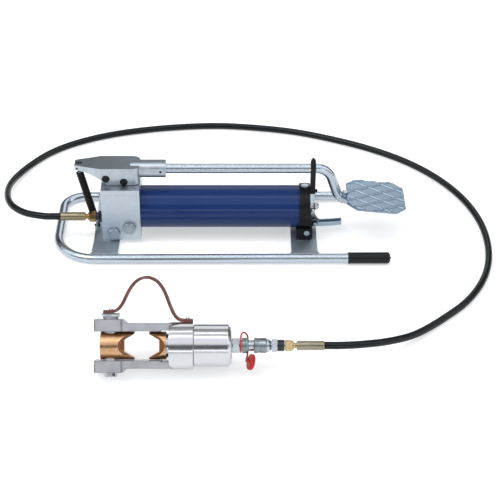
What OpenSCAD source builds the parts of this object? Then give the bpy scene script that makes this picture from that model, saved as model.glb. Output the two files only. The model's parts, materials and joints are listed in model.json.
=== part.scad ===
// Foot operated hydraulic pump, high pressure hose and crimping head.
// Millimetres. X runs along the pump from its outlet to its tread, Z is up, Z = 0 is the floor.

/* [Frame] */
// Outer diameter of the frame tube
tube_d = 20; // [16:0.5:24]
// Wall of the frame tube
tube_wall = 2; // [1.5:0.1:3]
// Distance between the axes of the two legs
leg_span = 242; // [220:1:270]
// Length of the legs, from the cross tube's axis to their ends
leg_l = 702; // [660:1:760]
// Centreline radius of the bend at the near leg
near_bend_r = 85; // [60:1:95]
// Centreline radius of the bend at the far leg
far_bend_r = 45; // [30:1:80]
// Diameter of the rubber grips
grip_d = 25; // [24.5:0.1:30]
// Length of the rubber grips
grip_l = 89; // [60:1:110]
// Rubber beyond the end of the tube
grip_end = 8; // [5:0.5:12]
// Thickness of the bracket sheet
sheet_t = 4; // [3:0.1:5]
// Width of the front and rear brackets along the pump
bracket_w = 56; // [46:1:64]
// Height of the brackets' flat above the floor
seat_z = 8; // [6.5:0.1:10]
// Diameter of the weld beads
weld_d = 5; // [3:0.1:6]

/* [Pump block] */
// Length of the block along the pump
block_l = 82; // [78:1:90]
// Width of the block across the pump
block_w = 94; // [93:1:104]
// Height of the block
block_h = 126; // [122:1:134]
// Width across the flats of the two valve plugs
plug_af = 26; // [22:1:28]
// Height of the valve plugs' heads
plug_h = 7; // [5:0.5:9]
// Diameter of the outlet bore
port_d = 14; // [10:0.5:16]
// Height of the outlet axis above the floor
port_z = 54; // [50:1:64]
// Distance of the outlet axis in front of the middle plane
port_y = 24; // [22:1:30]

/* [Reservoir] */
// Outer diameter of the reservoir tube
tank_d = 92; // [84:1:93]
// Wall of the reservoir tube
tank_wall = 3; // [2:0.1:4]
// Length of the reservoir tube
tank_l = 341; // [320:1:360]
// Height of the reservoir's axis above the floor
tank_z = 65; // [62:1:70]
// Diameter of the rear end cap
cap_d = 100; // [97:1:104]
// Thickness of the rear end cap
cap_t = 23; // [22.5:0.5:30]
// Height of the end cap's foot
foot_h = 28; // [24:1:30]
// Length of the end cap's foot along the pump
foot_l = 34; // [32:1:38]
// Diameter of the filler plug
filler_d = 17; // [12:0.5:18]
// Diameter of the tie rod
rod_d = 10; // [8:0.5:12]

/* [Lever] */
// Distance from the outlet face of the block to the fulcrum
fulcrum_x = 11; // [10.5:0.1:13]
// Height of the fulcrum above the block
fulcrum_h = 17; // [16.5:0.1:19]
// Distance from the fulcrum to the piston pin along the pump
link_x = 38; // [36:0.5:40]
// Drop of the piston pin below the fulcrum, lever strapped down
link_drop = 7.5; // [6:0.1:7.8]
// Diameter of the fulcrum and piston pins
pin_d = 12; // [10:0.5:13]
// Diameter of the black pin heads
pin_head_d = 17; // [15:0.5:17.4]
// Width of the lever head
head_w = 54; // [50:1:60]
// Height of the lever head's top above the lever head's lower edge
head_h = 40; // [38:1:44]
// Gap between the lever head and the block
head_gap = 1.5; // [1:0.1:2.5]
// Width of the clevis slot in the lever head
slot_w = 31; // [30.5:0.1:34]
// Width of the lever head's nose
nose_w = 22; // [18:0.5:26]
// Diameter of the lever tube
lever_d = 21; // [18:0.5:24]
// Wall of the lever tube
lever_wall = 2.5; // [2:0.1:3.5]
// Diameter of the socket that holds the lever tube
socket_d = 38; // [32:0.5:40]
// Length of the socket beyond the lever head
socket_l = 55; // [40:1:70]
// Straight run of the lever beyond the hold-down strap
lever_past = 0.7; // [0.5:0.1:25]
// Height of the lever's axis above the fulcrum
lever_up = 10; // [6:0.5:12]
// Angle of the lever's steep stretch
bend_a = 72; // [50:1:78]
// Length of the lever's steep stretch
steep_l = 37; // [34:1:56]
// Centreline radius of the lever's upper bend
lever_bend_r = 35; // [28:1:40]
// Centreline radius of the lever's lower bend
low_bend_r = 28; // [26:1:34]
// Length of the tread plate
tread_l = 126; // [100:1:150]
// Width of the tread plate
tread_w = 118; // [90:1:130]
// Thickness of the tread plate
tread_t = 4; // [3:0.1:6]
// Height of the diamond ribs
rib_h = 1.6; // [1:0.1:3]
// Spacing of the diamond ribs
rib_pitch = 28.8; // [16:0.1:30]
// Slant of the diamond ribs
rib_a = 29; // [20:1:45]
// Fall of the tread plate towards its end
tread_a = 6; // [0:0.5:10]

/* [Springs and strap] */
// Wire diameter of the lever's return spring
wire_d = 3; // [2:0.1:3.4]
// Outer diameter of the lever's return spring
coil_d = 17; // [14:0.5:20]
// Number of curls in the lever's return spring
curls = 28; // [20:1:30]
// Wire diameter of the pedal spring
pedal_wire_d = 1; // [0.8:0.1:1.2]
// Number of curls in the pedal spring
pedal_curls = 9; // [6:1:10]
// Thickness of the rubber hold-down strap
strap_t = 11; // [8:0.5:12]

/* [Release pedal] */
// Length of the release pedal beyond its pivot
pedal_l = 58; // [45:1:75]
// Width of the release pedal's channel
pedal_w = 15; // [13:0.5:18]
// Height of the release pedal's channel
pedal_h = 9; // [7:0.5:11]
// Thickness of the release pedal's sheet
pedal_t = 2; // [1.5:0.1:2.5]

/* [Hose] */
// Outer diameter of the hose
hose_d = 15; // [12:0.5:16]
// Diameter of the crimped hose ferrules
ferrule_d = 18.5; // [17:0.5:22]
// Length of the crimped hose ferrules
ferrule_l = 53; // [40:1:60]
// Width across the flats of the brass hose nuts
nut_af = 21; // [19:0.5:24]
// Length of the brass hose nuts
nut_l = 17; // [14:0.5:20]

/* [Crimping head] */
// Roll of the head about its long axis, lying on its side
roll = 35; // [0:1:60]
// Radius of the dies
die_r = 27; // [24:0.5:28]
// Width across the flats of the hexagon that the dies press
hex_af = 39; // [30:0.5:40]
// Travel of the ram
stroke = 28.5; // [20:0.5:30]
// Distance from the locking pin to the joint of the dies
joint_x = 46; // [44:0.5:50]
// Thickness of the fork's arms
arm_t = 15; // [12:0.5:18]
// Extra thickness of the arms' ends
arm_end_t = 8; // [5:0.5:12]
// Half width of the arms
arm_half_w = 22; // [18:0.5:24]
// Diameter of the yoke's hub
hub_d = 93; // [90:0.5:100]
// Length of the yoke's hub
hub_l = 44; // [42:0.5:52]
// Diameter of the cylinder
cyl_d = 82.5; // [80:0.5:88]
// Length of the cylinder's straight outside
cyl_l = 66; // [62:0.5:76]
// Diameter of the ram's piston
ram_d = 66; // [56:0.5:68]
// Diameter of the ram's rod
ram_rod_d = 46; // [36:0.5:50]
// Diameter of the locking pin
lock_d = 26; // [22:0.5:28]
// Length of the locking pin's end beyond the fork
lock_out = 8.5; // [8:0.1:12]
// Diameter of the locking pin's head
lock_head_d = 36.5; // [30:0.5:40]
// Thickness of the leather strap
leather_t = 6; // [4:0.5:7]
// Width of the leather strap
leather_w = 26; // [18:0.5:27]
// Diameter of the coupler sleeve
sleeve_d = 30; // [28:0.5:34]
// Travel of the coupler sleeve
sleeve_travel = 5; // [3:0.5:6]
// Diameter of the red dust cap
dust_d = 31; // [28:0.5:36]

/* [Place] */
// Distance of the pump's middle plane behind the origin
pump_y = 195; // [150:1:240]
// Distance of the block's reservoir face before the origin
pump_x = 190; // [150:1:240]
// Distance of the head's axis in front of the origin
head_y = 279; // [240:1:320]
// Distance of the locking pin before the origin
head_x = 223; // [190:1:260]

/* [Hidden] */
$fn = 64;
// Radial clearances: fit on shafts and in seats, loose between a body and its neighbour
fit = 0.05;
loose = 0.3;
// An overlap for cuts
cut = 1;

// Frame: the legs rise a little towards the grips, which are thicker than the tube
tube_r = tube_d / 2;
cross_x = -178;
grip_x = leg_l + grip_end - grip_l;
tilt = atan((grip_d - tube_d) / 2 / grip_x);
front_bracket_x = -block_l - 20;
rear_bracket_x = tank_l - 18;
function leg_z(x) = tube_r + (x - cross_x) * tan(tilt);

// Block and reservoir, measured from the block's reservoir face
block_top = seat_z + block_h;
chamfer_w = 8;
fulcrum = [fulcrum_x - block_l, block_top + fulcrum_h];
link = [fulcrum[0] + link_x, fulcrum[1] - link_drop];
link_arm = norm([link_x, link_drop]);
piston_x = fulcrum[0] + link_arm * 0.957;
piston_r = (slot_w - 1) / 2;
high_r = 7;
gland_r = piston_r + 7;
gland_h = 15.5;
seal_h = 5;
seal_z = block_top - gland_h - seal_h - 1;
lug_w = slot_w - 3;
lug_r = fulcrum_x;
tank_r = tank_d / 2;
bore_r = tank_r - tank_wall;
spigot_l = 8;
strainer_r = 9;
ring_r = 1.5;
cap_x = tank_l;
cap_back = cap_x + cap_t;
foot_x = cap_x - 6;
foot_back = foot_x + foot_l;
foot_top = seat_z + foot_h;
plug_r = 9;
plug_at = [[-58, 26], [-24, 40]];
screw_y = block_w / 2 - 11;
bracket_screw_r = 4;

// Lever
strap_x = cap_back + 0.3;
head_low = block_top + head_gap;
head_top = head_low + head_h;
head_end = 1;
nose_x = fulcrum[0] - 67;
spring_pin_r = 2.5;
spring_top = [nose_x + 6, head_top - 7.5];
spring_foot = [-block_l - 16, seat_z + 8];
lever_z = fulcrum[1] + lever_up;
lever_r = lever_d / 2;
socket_end = head_end + socket_l;
tube_in = head_end + 1;
lever_run = strap_x + strap_t + lever_past;
bend1 = [lever_run + lever_bend_r * sin(bend_a), lever_z - lever_bend_r * (1 - cos(bend_a))];
bend2 = [bend1[0] + steep_l * cos(bend_a), bend1[1] - steep_l * sin(bend_a)];
tread_at = [bend2[0] + low_bend_r * (sin(bend_a) - sin(tread_a)),
            bend2[1] - low_bend_r * (cos(tread_a) - cos(bend_a))];
tread_x = -3;
tread_run = 70;
bolt_x = -5.5;
bolt_r = 3;

// Rear end: peg, strap and release pedal
peg_z = tank_z + 39;
peg_r = 3.3;
pedal_at = [foot_back + 7, seat_z + 19];
pedal_pin_r = 2.5;
ear_t = 4;
pedal_hook = [pedal_at[0] + 8, pedal_at[1] - 2];
cap_hook = [cap_back + 4, pedal_at[1] + 25];
plunger_z = pedal_at[1] - 9;
plunger_r = 3;
small_pin_r = 1.5;

// Outlet fittings, measured from the block's outlet face towards the hose
adapter_l = 15;
adapter_af = 22;
neck_l = 5.5;
neck_r = 5.5;
pump_face = [-pump_x - block_l, pump_y - port_y, port_z];
pump_hose_x = pump_face[0] - adapter_l - nut_l - neck_l - ferrule_l;

// Crimping head, measured from the locking pin's axis
arm_z = die_r + 1;
end_x = -30.5;
end_l = 54;
end_slope = 9;
end_top = arm_z + arm_t + arm_end_t;
end_half_w = arm_half_w + 2.7;
hub_x = 115;
hub_r = hub_d / 2;
hub_end = hub_x + hub_l;
recess_x = 98;
recess_r = arm_z + arm_t - 6;
spigot_r = cyl_d / 2 - 4;
spigot_x = hub_end - 14;
cyl_x = hub_end + 1;
cyl_end = cyl_x + cyl_l;
cone_l = 7;
ram_r = ram_d / 2;
rod_r = ram_rod_d / 2;
piston_l = 18;
piston_end = cyl_end - 8;
tip_gap = stroke;
die_half = joint_x + tip_gap;
land_r = hex_af / 2;
bell_slope = 0.8;
bell_y = 11.75;
moving_l = 33;
lock_r = lock_d / 2;
lock_low = end_top + lock_out;
lock_hole_r = 3;
lock_head_z = end_top + 4.5;
lock_head_t = 6.5;
head_z = lock_r * sin(roll) + lock_low * cos(roll);
hub_flat = hub_r - 1.5;
rivet_r = 1.3;
pin_rivet_l = 0.9 * lock_head_t;
hub_rivet_l = 0.75 * (hub_flat - spigot_r);
sleeve_r = sleeve_d / 2;
inlet_x = cyl_end + cone_l + 0.5;
inlet_af = 28;
inlet_l = 15;
nipple_x = inlet_x + inlet_l + 4;
body_r = sleeve_r - 2;
coupler_x = nipple_x + 23;
sleeve_x = coupler_x + 0.5;
sleeve_l = 24;
tail_af = 24;
tail_x = coupler_x + sleeve_l + sleeve_travel + 5;
tail_l = 11;
ring_nut_x = tail_x + tail_l + 0.3;
ring_nut_l = 14;
head_nut_x = ring_nut_x + ring_nut_l + 0.6;
head_ferrule_x = head_nut_x + nut_l + neck_l;
head_hose_x = head_ferrule_x + ferrule_l - head_x;

// Leather strap: centreline of its arch, from the pin's head to the hub
lock_top = lock_head_z + lock_head_t;
strap_low = hub_flat + leather_t / 2 + loose;
strap_high = lock_top + leather_t / 2 + loose;
leather_route = [[-17, strap_high], [-14, strap_high], [0, strap_high], [12, strap_high + 3],
    [22, strap_high + 14], [31, strap_high + 32], [40, strap_high + 48], [53, strap_high + 61],
    [70, strap_high + 66], [87, strap_high + 60], [99, strap_high + 47], [107, strap_high + 31],
    [hub_x, strap_low + 27], [hub_x + 8, strap_low + 10.5], [hub_x + 16, strap_low + 2.6],
    [hub_x + 24, strap_low + 0.3], [hub_x + 33, strap_low], [hub_end - 0.5, strap_low], [hub_end + 2.5, strap_low]];

// Hose route from the pump's ferrule to the head's, chosen by hand
hose_r = hose_d / 2;
hose_route = concat(
    [for (d = [15, 0, -15, -30]) [pump_hose_x + d, pump_face[1], port_z]],
    [[-412, 175.5, 53.5], [-441, 189, 51], [-466, 213, 47.5], [-484, 247, 41.5], [-494, 290, 33],
     [-497, 335, 24], [-492, 378, 16], [-480, 415, 11.5]],
    [for (p = [[-460, 458], [-420, 510], [-365, 553], [-290, 589], [-210, 612], [-120, 627], [-30, 632],
        [60, 623], [150, 604], [240, 570], [330, 524], [410, 466], [475, 394], [522, 312], [549, 225],
        [557, 140], [549, 60], [525, -12], [485, -78], [430, -136]]) [p[0], p[1], hose_r]],
    [[372, -192, 15], [316, -234, 31], [262, -264, 47]],
    [for (d = [30, 15, 0, -15]) [head_hose_x + d, -head_y, head_z]]);

// Shared shapes

// Places its children in the pump's frame: the block's reservoir face, middle plane, floor
module at_pump() {
    translate([-pump_x, pump_y, 0]) children();
}

// Places its children in the plane of the frame's tubes, at the cross tube's axis
module at_frame() {
    at_pump() translate([cross_x, 0, tube_r]) rotate([0, -tilt, 0]) children();
}

// Places its children in the crimping head's frame: locking pin, long axis along X
module at_head() {
    translate([-head_x, -head_y, head_z]) rotate([-roll, 0, 0]) children();
}

// Places its children at the end of the lever's second bend, along its last run
module at_tread() {
    at_pump() translate([tread_at[0], 0, tread_at[1]]) rotate([0, tread_a, 0]) children();
}

// Round bar along X
module bar_x(r, x0, x1) {
    translate([x0, 0, 0]) rotate([0, 90, 0]) cylinder(r = r, h = x1 - x0);
}

// Round bar along Y
module bar_y(r, y0, y1) {
    translate([0, y1, 0]) rotate([90, 0, 0]) cylinder(r = r, h = y1 - y0);
}

// Hexagonal bar along X, a corner towards Y
module hex_x(af, x0, x1) {
    intersection() {
        translate([x0, 0, 0]) rotate([90, 0, 90]) cylinder(d = af / cos(30), h = x1 - x0, $fn = 6);
        bar_x(af / cos(30) / 2 - 0.6, x0, x1);
    }
}

// Ring along X
module ring_x(r_out, r_in, x0, x1) {
    difference() {
        bar_x(r_out, x0, x1);
        bar_x(r_in, x0 - cut, x1 + cut);
    }
}

// Outline in X and Z pushed out along Y, half each side
module slab_y(w) {
    translate([0, w / 2, 0]) rotate([90, 0, 0]) linear_extrude(w) children();
}

// Catmull-Rom point between p1 and p2
function blend_point(p0, p1, p2, p3, t) =
    0.5 * ((2 * p1) + (p2 - p0) * t + (2 * p0 - 5 * p1 + 4 * p2 - p3) * t * t
    + (3 * p1 - p0 - 3 * p2 + p3) * t * t * t);

// Smooth run through all but the first and last of the points
function smooth_run(p, steps) = concat(
    [for (i = [1 : len(p) - 3], k = [0 : steps - 1])
        blend_point(p[i - 1], p[i], p[i + 1], p[i + 2], k / steps)],
    [p[len(p) - 2]]);

function unit(v) = v / norm(v);
function tangent(p, i) = unit(p[min(i + 1, len(p) - 1)] - p[max(i - 1, 0)]);
function carry(side, t) = unit(side - t * (side * t));

// Tube along points: its rings are carried along without twist
module swept_tube(p, r, sides, first_side) {
    n = len(p);
    side = [for (i = 0, s = carry(first_side, tangent(p, 0)); i < n;
        i = i + 1, s = i < n ? carry(s, tangent(p, i)) : s) s];
    rings = [for (i = [0 : n - 1], k = [0 : sides - 1])
        let (a = 360 * k / sides, t = tangent(p, i))
        p[i] + r * (cos(a) * side[i] + sin(a) * cross(t, side[i]))];
    walls = [for (i = [0 : n - 2], k = [0 : sides - 1])
        let (a = i * sides + k, b = i * sides + (k + 1) % sides)
        each [[a, a + sides, b + sides], [a, b + sides, b]]];
    caps = [for (k = [1 : sides - 2]) each [[0, k, k + 1],
        [(n - 1) * sides, (n - 1) * sides + k + 1, (n - 1) * sides + k]]];
    polyhedron(points = rings, faces = concat(walls, caps), convexity = 10);
}

// Path of an extension spring from one pin to the next, a hook round each
function spring_path(length, wire, r, pin_r, turns) = let (
    hook = pin_r + wire / 2 + loose,
    z0 = hook + r + wire,
    pitch = (length - 2 * z0) / turns)
    concat(
    [for (a = [-200 : 25 : 0]) [hook * cos(a), 0, hook * sin(a)]],
    [[(hook + r) / 2, 0, z0 / 2]],
    [for (i = [0 : 8 * turns]) [r * cos(45 * i), r * sin(45 * i), z0 + pitch * i / 8]],
    [[(hook + r) / 2, 0, length - z0 / 2]],
    [for (a = [0 : 25 : 200]) [hook * cos(a), 0, length + hook * sin(a)]]);

// Least gap between two curls of a spring's wire
function self_gap(p, wire) = min([for (i = [0 : len(p) - 7], j = [i + 6 : min(i + 12, len(p) - 1)])
    norm(p[i] - p[j])]) - wire;

// Spring from one pin to another, both across the pump
module spring(from, to, wire, r, pin_r, turns) {
    way = to - from;
    path = spring_path(norm(way), wire, r, pin_r, turns);
    echo(least_gap_between_curls = self_gap(path, wire));
    translate([from[0], 0, from[1]]) rotate([0, atan2(way[0], way[1]), 0])
        swept_tube(path, wire / 2, 6, [0, 1, 0]);
}

// Frame

// The bent U of the frame, for a tube of radius r
module frame_run(r) {
    half = leg_span / 2;
    translate([0, -half, 0]) bar_x(r, near_bend_r, leg_l);
    translate([0, half, 0]) bar_x(r, far_bend_r, leg_l);
    bar_y(r, near_bend_r - half, half - far_bend_r);
    translate([near_bend_r, near_bend_r - half, 0]) rotate([0, 0, 180])
        rotate_extrude(angle = 90) translate([near_bend_r, 0]) circle(r = r);
    translate([far_bend_r, half - far_bend_r, 0]) rotate([0, 0, 90])
        rotate_extrude(angle = 90) translate([far_bend_r, 0]) circle(r = r);
}

module base_frame() {
    color("gainsboro") at_frame() difference() {
        frame_run(tube_r);
        frame_run(tube_r - tube_wall);
        for (s = [-1, 1]) translate([0, s * leg_span / 2, 0])
            bar_x(tube_r - tube_wall, leg_l - cut, leg_l + cut);
    }
}

// Sheet from leg to leg: flat in the middle, rising to a weld on each tube
module bracket(x0) {
    y_end = leg_span / 2 - tube_r / 2;
    y_flat = block_w / 2 + 5;
    rise = leg_z(x0) + tube_r - seat_z;
    drop = sheet_t * norm([y_end - y_flat, rise]) / (y_end - y_flat);
    color("lightsteelblue") at_pump() difference() {
        union() {
            translate([x0, 0, seat_z]) rotate([90, 0, 90]) linear_extrude(bracket_w) polygon([
                [-y_end, rise], [-y_flat, 0], [y_flat, 0], [y_end, rise],
                [y_end, rise - drop], [y_flat, -sheet_t], [-y_flat, -sheet_t], [-y_end, rise - drop]]);
            for (s = [-1, 1]) translate([0, s * (y_end + 1), leg_z(x0) + tube_r - 1])
                bar_x(weld_d / 2, x0 - 3, x0 + bracket_w + 3);
        }
        translate([cross_x, 0, tube_r]) rotate([0, -tilt, 0]) frame_run(tube_r + fit);
        for (x = screw_xs(x0)) translate([x, 0, seat_z - sheet_t - cut])
            cylinder(r = bracket_screw_r + loose, h = sheet_t + 2 * cut);
    }
}

function screw_xs(x0) = x0 < 0 ? [x0 + bracket_w - 10] : [foot_x + foot_l / 2];

module front_bracket() {
    bracket(front_bracket_x);
}

module rear_bracket() {
    bracket(rear_bracket_x);
}

// Low headed screws under the brackets, into the block and the end cap's foot
module bracket_screws() {
    color("gray") at_pump() for (x = concat(screw_xs(front_bracket_x), screw_xs(rear_bracket_x)))
        translate([x, 0, seat_z - sheet_t - 3]) {
            cylinder(r = bracket_screw_r * 1.7, h = 3);
            cylinder(r = bracket_screw_r, h = sheet_t + 9);
        }
}

// Rubber grip pushed over a leg, round at its end with a small moulded pip
module grip(side) {
    color([0.09, 0.09, 0.1]) at_frame() translate([grip_x, side * leg_span / 2, 0]) difference() {
        rotate([0, 90, 0]) rotate_extrude() polygon(concat(
            [[0, 0], [grip_d / 2 - 1, 0], [grip_d / 2, 1]],
            [for (a = [0 : 15 : 75]) [grip_d / 2 - 6 + 6 * cos(a), grip_l - 6 + 6 * sin(a)]],
            [[grip_d / 2 - 6, grip_l], [2.5, grip_l], [2, grip_l + 2], [0, grip_l + 2]]));
        bar_x(tube_r + fit, -cut, grip_l - grip_end);
    }
}

module grip_near() {
    grip(-1);
}

module grip_far() {
    grip(1);
}

// Pump block

module pump_block() {
    color([0.8, 0.82, 0.85]) at_pump() difference() {
        union() {
            translate([-block_l, -block_w / 2, seat_z]) cube([block_l, block_w, block_h]);
            translate([fulcrum[0], 0, 0]) {
                translate([-lug_r, -lug_w / 2, block_top - cut]) cube([2 * lug_r, lug_w, fulcrum_h + cut]);
                translate([0, 0, fulcrum[1]]) bar_y(lug_r, -lug_w / 2, lug_w / 2);
            }
            translate([0, 0, tank_z]) bar_x(bore_r - 0.1, -cut, spigot_l);
        }
        translate([fulcrum[0], 0, fulcrum[1]]) bar_y(pin_d / 2 + fit, -block_w, block_w);
        translate([piston_x, 0, 0]) {
            translate([0, 0, seal_z]) cylinder(r = gland_r + fit, h = block_top);
            translate([0, 0, seat_z + 58]) cylinder(r = piston_r + fit, h = block_h);
            translate([0, 0, seat_z + 32]) cylinder(r = high_r + fit, h = block_h);
        }
        for (p = plug_at) translate([p[0], 0, p[1]]) {
            bar_y(plug_r + fit, -block_w, -block_w / 2 + 26);
            bar_y(4, -block_w / 2 + 20, -block_w / 2 + 34);
            translate([0, 0, -2]) bar_x(2.5, min(0, piston_x - p[0]), max(0, piston_x - p[0]));
        }
        translate([0, -port_y, port_z]) bar_x(port_d / 2 + fit, -block_l - cut, -block_l + 16);
        translate([0, -port_y, port_z]) bar_x(3, -block_l, piston_x);
        translate([0, 0, tank_z]) {
            bar_x(rod_d / 2 + fit, -24, spigot_l + cut);
            ring_x(bore_r + cut, bore_r - 3.2, spigot_l / 2 - 1.8, spigot_l / 2 + 1.8);
        }
        translate([0, 0, tank_z - 0.6 * bore_r]) bar_x(strainer_r - 4 + fit, -2 * spigot_l - 2, spigot_l + cut);
        for (x = [-block_l + 9, -9], s = [-1, 1]) translate([x, s * screw_y, block_top - 9])
            cylinder(r = 3 + fit, h = 9 + cut, $fn = 24);
        for (x = screw_xs(front_bracket_x)) translate([x, 0, seat_z - cut])
            cylinder(r = bracket_screw_r + fit, h = 7.5);
        translate([-block_l - cut, -block_w / 2 - cut, block_top - 12])
            cube([block_l + 2 * cut, cut + 0.5, 0.8]);
    }
}

// Four socket screws in the block's top corners
module block_screws() {
    color("silver") at_pump() for (x = [-block_l + 9, -9], s = [-1, 1])
        translate([x, s * screw_y, block_top - 8.8]) difference() {
            cylinder(r = 3, h = 8.4, $fn = 24);
            translate([0, 0, 5]) cylinder(r = 1.5, h = 4, $fn = 6);
        }
}

// Hexagon headed plugs over the suction and delivery valves
module valve_plugs() {
    color([0.78, 0.8, 0.82]) at_pump() for (p = plug_at) translate([p[0], -block_w / 2, p[1]]) {
        intersection() {
            rotate([90, 0, 0]) cylinder(d = plug_af / cos(30), h = plug_h, $fn = 6);
            rotate([90, 0, 0]) cylinder(r1 = plug_af * 0.72, r2 = plug_af * 0.53, h = plug_h);
        }
        bar_y(plug_r, 0, 18);
    }
}

// Check balls, each on its spring guide behind a plug
module valve_balls() {
    color("silver") at_pump() for (p = plug_at) translate([p[0], -block_w / 2 + 18 + loose, p[1]]) {
        bar_y(2, 0, 3);
        translate([0, 5, 0]) sphere(r = 2.8, $fn = 32);
    }
}

module piston_gland() {
    color("silver") at_pump() translate([piston_x, 0, block_top - gland_h]) difference() {
        cylinder(r = gland_r, h = gland_h - loose);
        translate([0, 0, -cut]) cylinder(r = piston_r + fit, h = gland_h + 2 * cut);
        for (s = [-1, 1]) translate([0, s * (piston_r + 3.5), gland_h - 5]) cylinder(r = 1.5, h = 6, $fn = 24);
    }
}

module piston_seal() {
    color("black") at_pump() translate([piston_x, 0, seal_z]) difference() {
        cylinder(r = gland_r, h = seal_h + 1);
        translate([0, 0, -cut]) cylinder(r = piston_r + fit, h = seal_h + 3 * cut);
    }
}

// Stepped piston: a wide low pressure stage, a thin high pressure stage and a slotted tongue
module pump_piston() {
    slack = link_arm * 0.043 + 0.5;
    color("lightgray") at_pump() translate([piston_x, 0, 0]) difference() {
        union() {
            translate([0, 0, seat_z + 62]) cylinder(r = piston_r, h = link[1] - seat_z - 62);
            translate([0, 0, seat_z + 36]) cylinder(r = high_r, h = 30);
            intersection() {
                translate([0, 0, link[1]]) bar_y(pin_d / 2 + 6, -piston_r, piston_r);
                translate([0, 0, link[1] - 20]) cylinder(r = piston_r, h = 50);
            }
        }
        for (s = [-1, 1]) translate([-50, s * (lug_w / 2 + 10) - 10, head_low]) cube([100, 20, 60]);
        translate([0, 0, link[1]]) {
            for (s = [-1, 1]) translate([s * slack, 0, 0]) bar_y(pin_d / 2 + 0.35, -20, 20);
            translate([-slack, -20, -pin_d / 2 - 0.35]) cube([2 * slack, 40, pin_d + 0.7]);
        }
    }
}

// Reservoir

module reservoir_tube() {
    color([0.12, 0.2, 0.45]) at_pump() translate([0, 0, tank_z]) ring_x(tank_r, bore_r, 0, tank_l);
}

module reservoir_seals() {
    color("black") at_pump() for (x = [spigot_l / 2, tank_l - spigot_l / 2]) translate([x, 0, tank_z])
        rotate([0, 90, 0]) rotate_extrude() translate([bore_r - ring_r - 0.05, 0]) circle(r = ring_r, $fn = 24);
}

// Suction pipe and its strainer, low in the reservoir
module suction_strainer() {
    color("darkgray") at_pump() translate([0, 0, tank_z - 0.6 * bore_r]) {
        ring_x(strainer_r - 4, strainer_r - 5.5, -2 * spigot_l, 0.2 * tank_l);
        ring_x(strainer_r, strainer_r - 4.5, 0.2 * tank_l - 4, 0.3 * tank_l);
        bar_x(strainer_r, 0.3 * tank_l, 0.3 * tank_l + 2);
    }
}

module tie_rod() {
    color("gray") at_pump() translate([0, 0, tank_z]) bar_x(rod_d / 2, -22, cap_back + 9);
}

// Rear end cap: round collar, filler boss and a foot that stands on the rear bracket
module end_cap() {
    color([0.07, 0.07, 0.08]) at_pump() difference() {
        union() {
            translate([0, 0, tank_z]) {
                bar_x(cap_d / 2, cap_x, cap_back);
                bar_x(bore_r - 0.1, cap_x - spigot_l, cap_x + cut);
            }
            translate([cap_x + cap_t / 2, 0, tank_z + 20]) cylinder(r = cap_t / 2 - 0.5, h = cap_d / 2 - 17);
            slab_y(block_w) difference() {
                translate([foot_x, seat_z]) square([foot_l, foot_h]);
                translate([foot_back - 7, seat_z]) difference() {
                    translate([0, -cut]) square([8, 7 + cut]);
                    translate([0, 7]) circle(r = 7);
                }
            }
            for (s = [-1, 1]) translate([0, s * (pedal_w / 2 + loose + ear_t / 2), 0]) slab_y(ear_t) {
                translate(pedal_at) circle(r = 6);
                translate([foot_back - cut, pedal_at[1] - 6]) square([pedal_at[0] - foot_back + cut, 12]);
            }
            translate([cap_back - cut, 2.5, cap_hook[1] - 3]) cube([cut + 6, 4, 6]);
            translate([cap_hook[0], 0, cap_hook[1]]) bar_y(small_pin_r, -2.5, 3);
        }
        difference() {
            translate([foot_x - cut, -bore_r, tank_z - cap_d / 2 - cut])
                cube([cap_x - foot_x + cut - loose, 2 * bore_r, cap_d]);
            translate([0, 0, tank_z]) bar_x(bore_r - 0.1, cap_x - spigot_l, cap_x + cut);
            translate([foot_x - cut, -bore_r - cut, seat_z - cut])
                cube([cap_x, 2 * bore_r + 2 * cut, tank_z - tank_r - seat_z - loose + cut]);
        }
        translate([0, 0, tank_z]) {
            bar_x(rod_d / 2 + fit, cap_x - spigot_l - cut, cap_back + cut);
            ring_x(bore_r + cut, bore_r - 3.2, tank_l - spigot_l / 2 - 1.8, tank_l - spigot_l / 2 + 1.8);
            translate([cap_x + cap_t / 2, 0, 0]) cylinder(r = filler_d / 2 - 3 + fit, h = cap_d);
            translate([cap_x + cap_t / 2, 0, cap_d / 2 + 1]) cylinder(r = filler_d / 2 + fit, h = cap_d);
            translate([cap_x + cap_t / 2, 0, 0]) bar_x(4, -cap_t / 2 - spigot_l, 0);
        }
        translate([0, 0, tank_z]) difference() {
            bar_x(tank_r + fit, foot_x - cut, cap_x);
            bar_x(bore_r - 0.1, foot_x - 2 * cut, cap_x + cut);
        }
        translate([pedal_at[0], 0, pedal_at[1]]) bar_y(pedal_pin_r + fit, -pedal_w, pedal_w);
        translate([0, 0, plunger_z]) bar_x(plunger_r + fit, foot_back - 20, foot_back + cut);
        translate([0, 0, peg_z]) bar_x(peg_r + fit, cap_back - 5.2, cap_back + cut);
        for (x = screw_xs(rear_bracket_x)) translate([x, 0, seat_z - cut])
            cylinder(r = bracket_screw_r + fit, h = 7.5);
        for (s = [-1, 1]) translate([foot_back - 12, s * block_w / 2, seat_z + 19]) bar_y(4 + fit, -12, 12);
    }
}

// Round headed plugs in the sides of the end cap's foot
module foot_plugs() {
    color("silver") at_pump() for (s = [-1, 1]) translate([foot_back - 12, s * block_w / 2, seat_z + 19])
        rotate([s * 90, 0, 0]) {
            translate([0, 0, -2.5]) intersection() {
                cylinder(r = 6, h = 2.5);
                translate([0, 0, 7]) sphere(r = 9.2);
            }
            cylinder(r = 4, h = 10);
        }
}

// Filler and breather plug in the end cap's boss
module filler_plug() {
    color("silver") at_pump() translate([cap_x + cap_t / 2, 0, tank_z + cap_d / 2 + 1]) {
        intersection() {
            cylinder(r = filler_d / 2, h = 3.5);
            translate([0, 0, -26]) sphere(r = 29.5);
        }
        translate([0, 0, -15]) cylinder(r = filler_d / 2 - 3, h = 15);
    }
}

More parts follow.
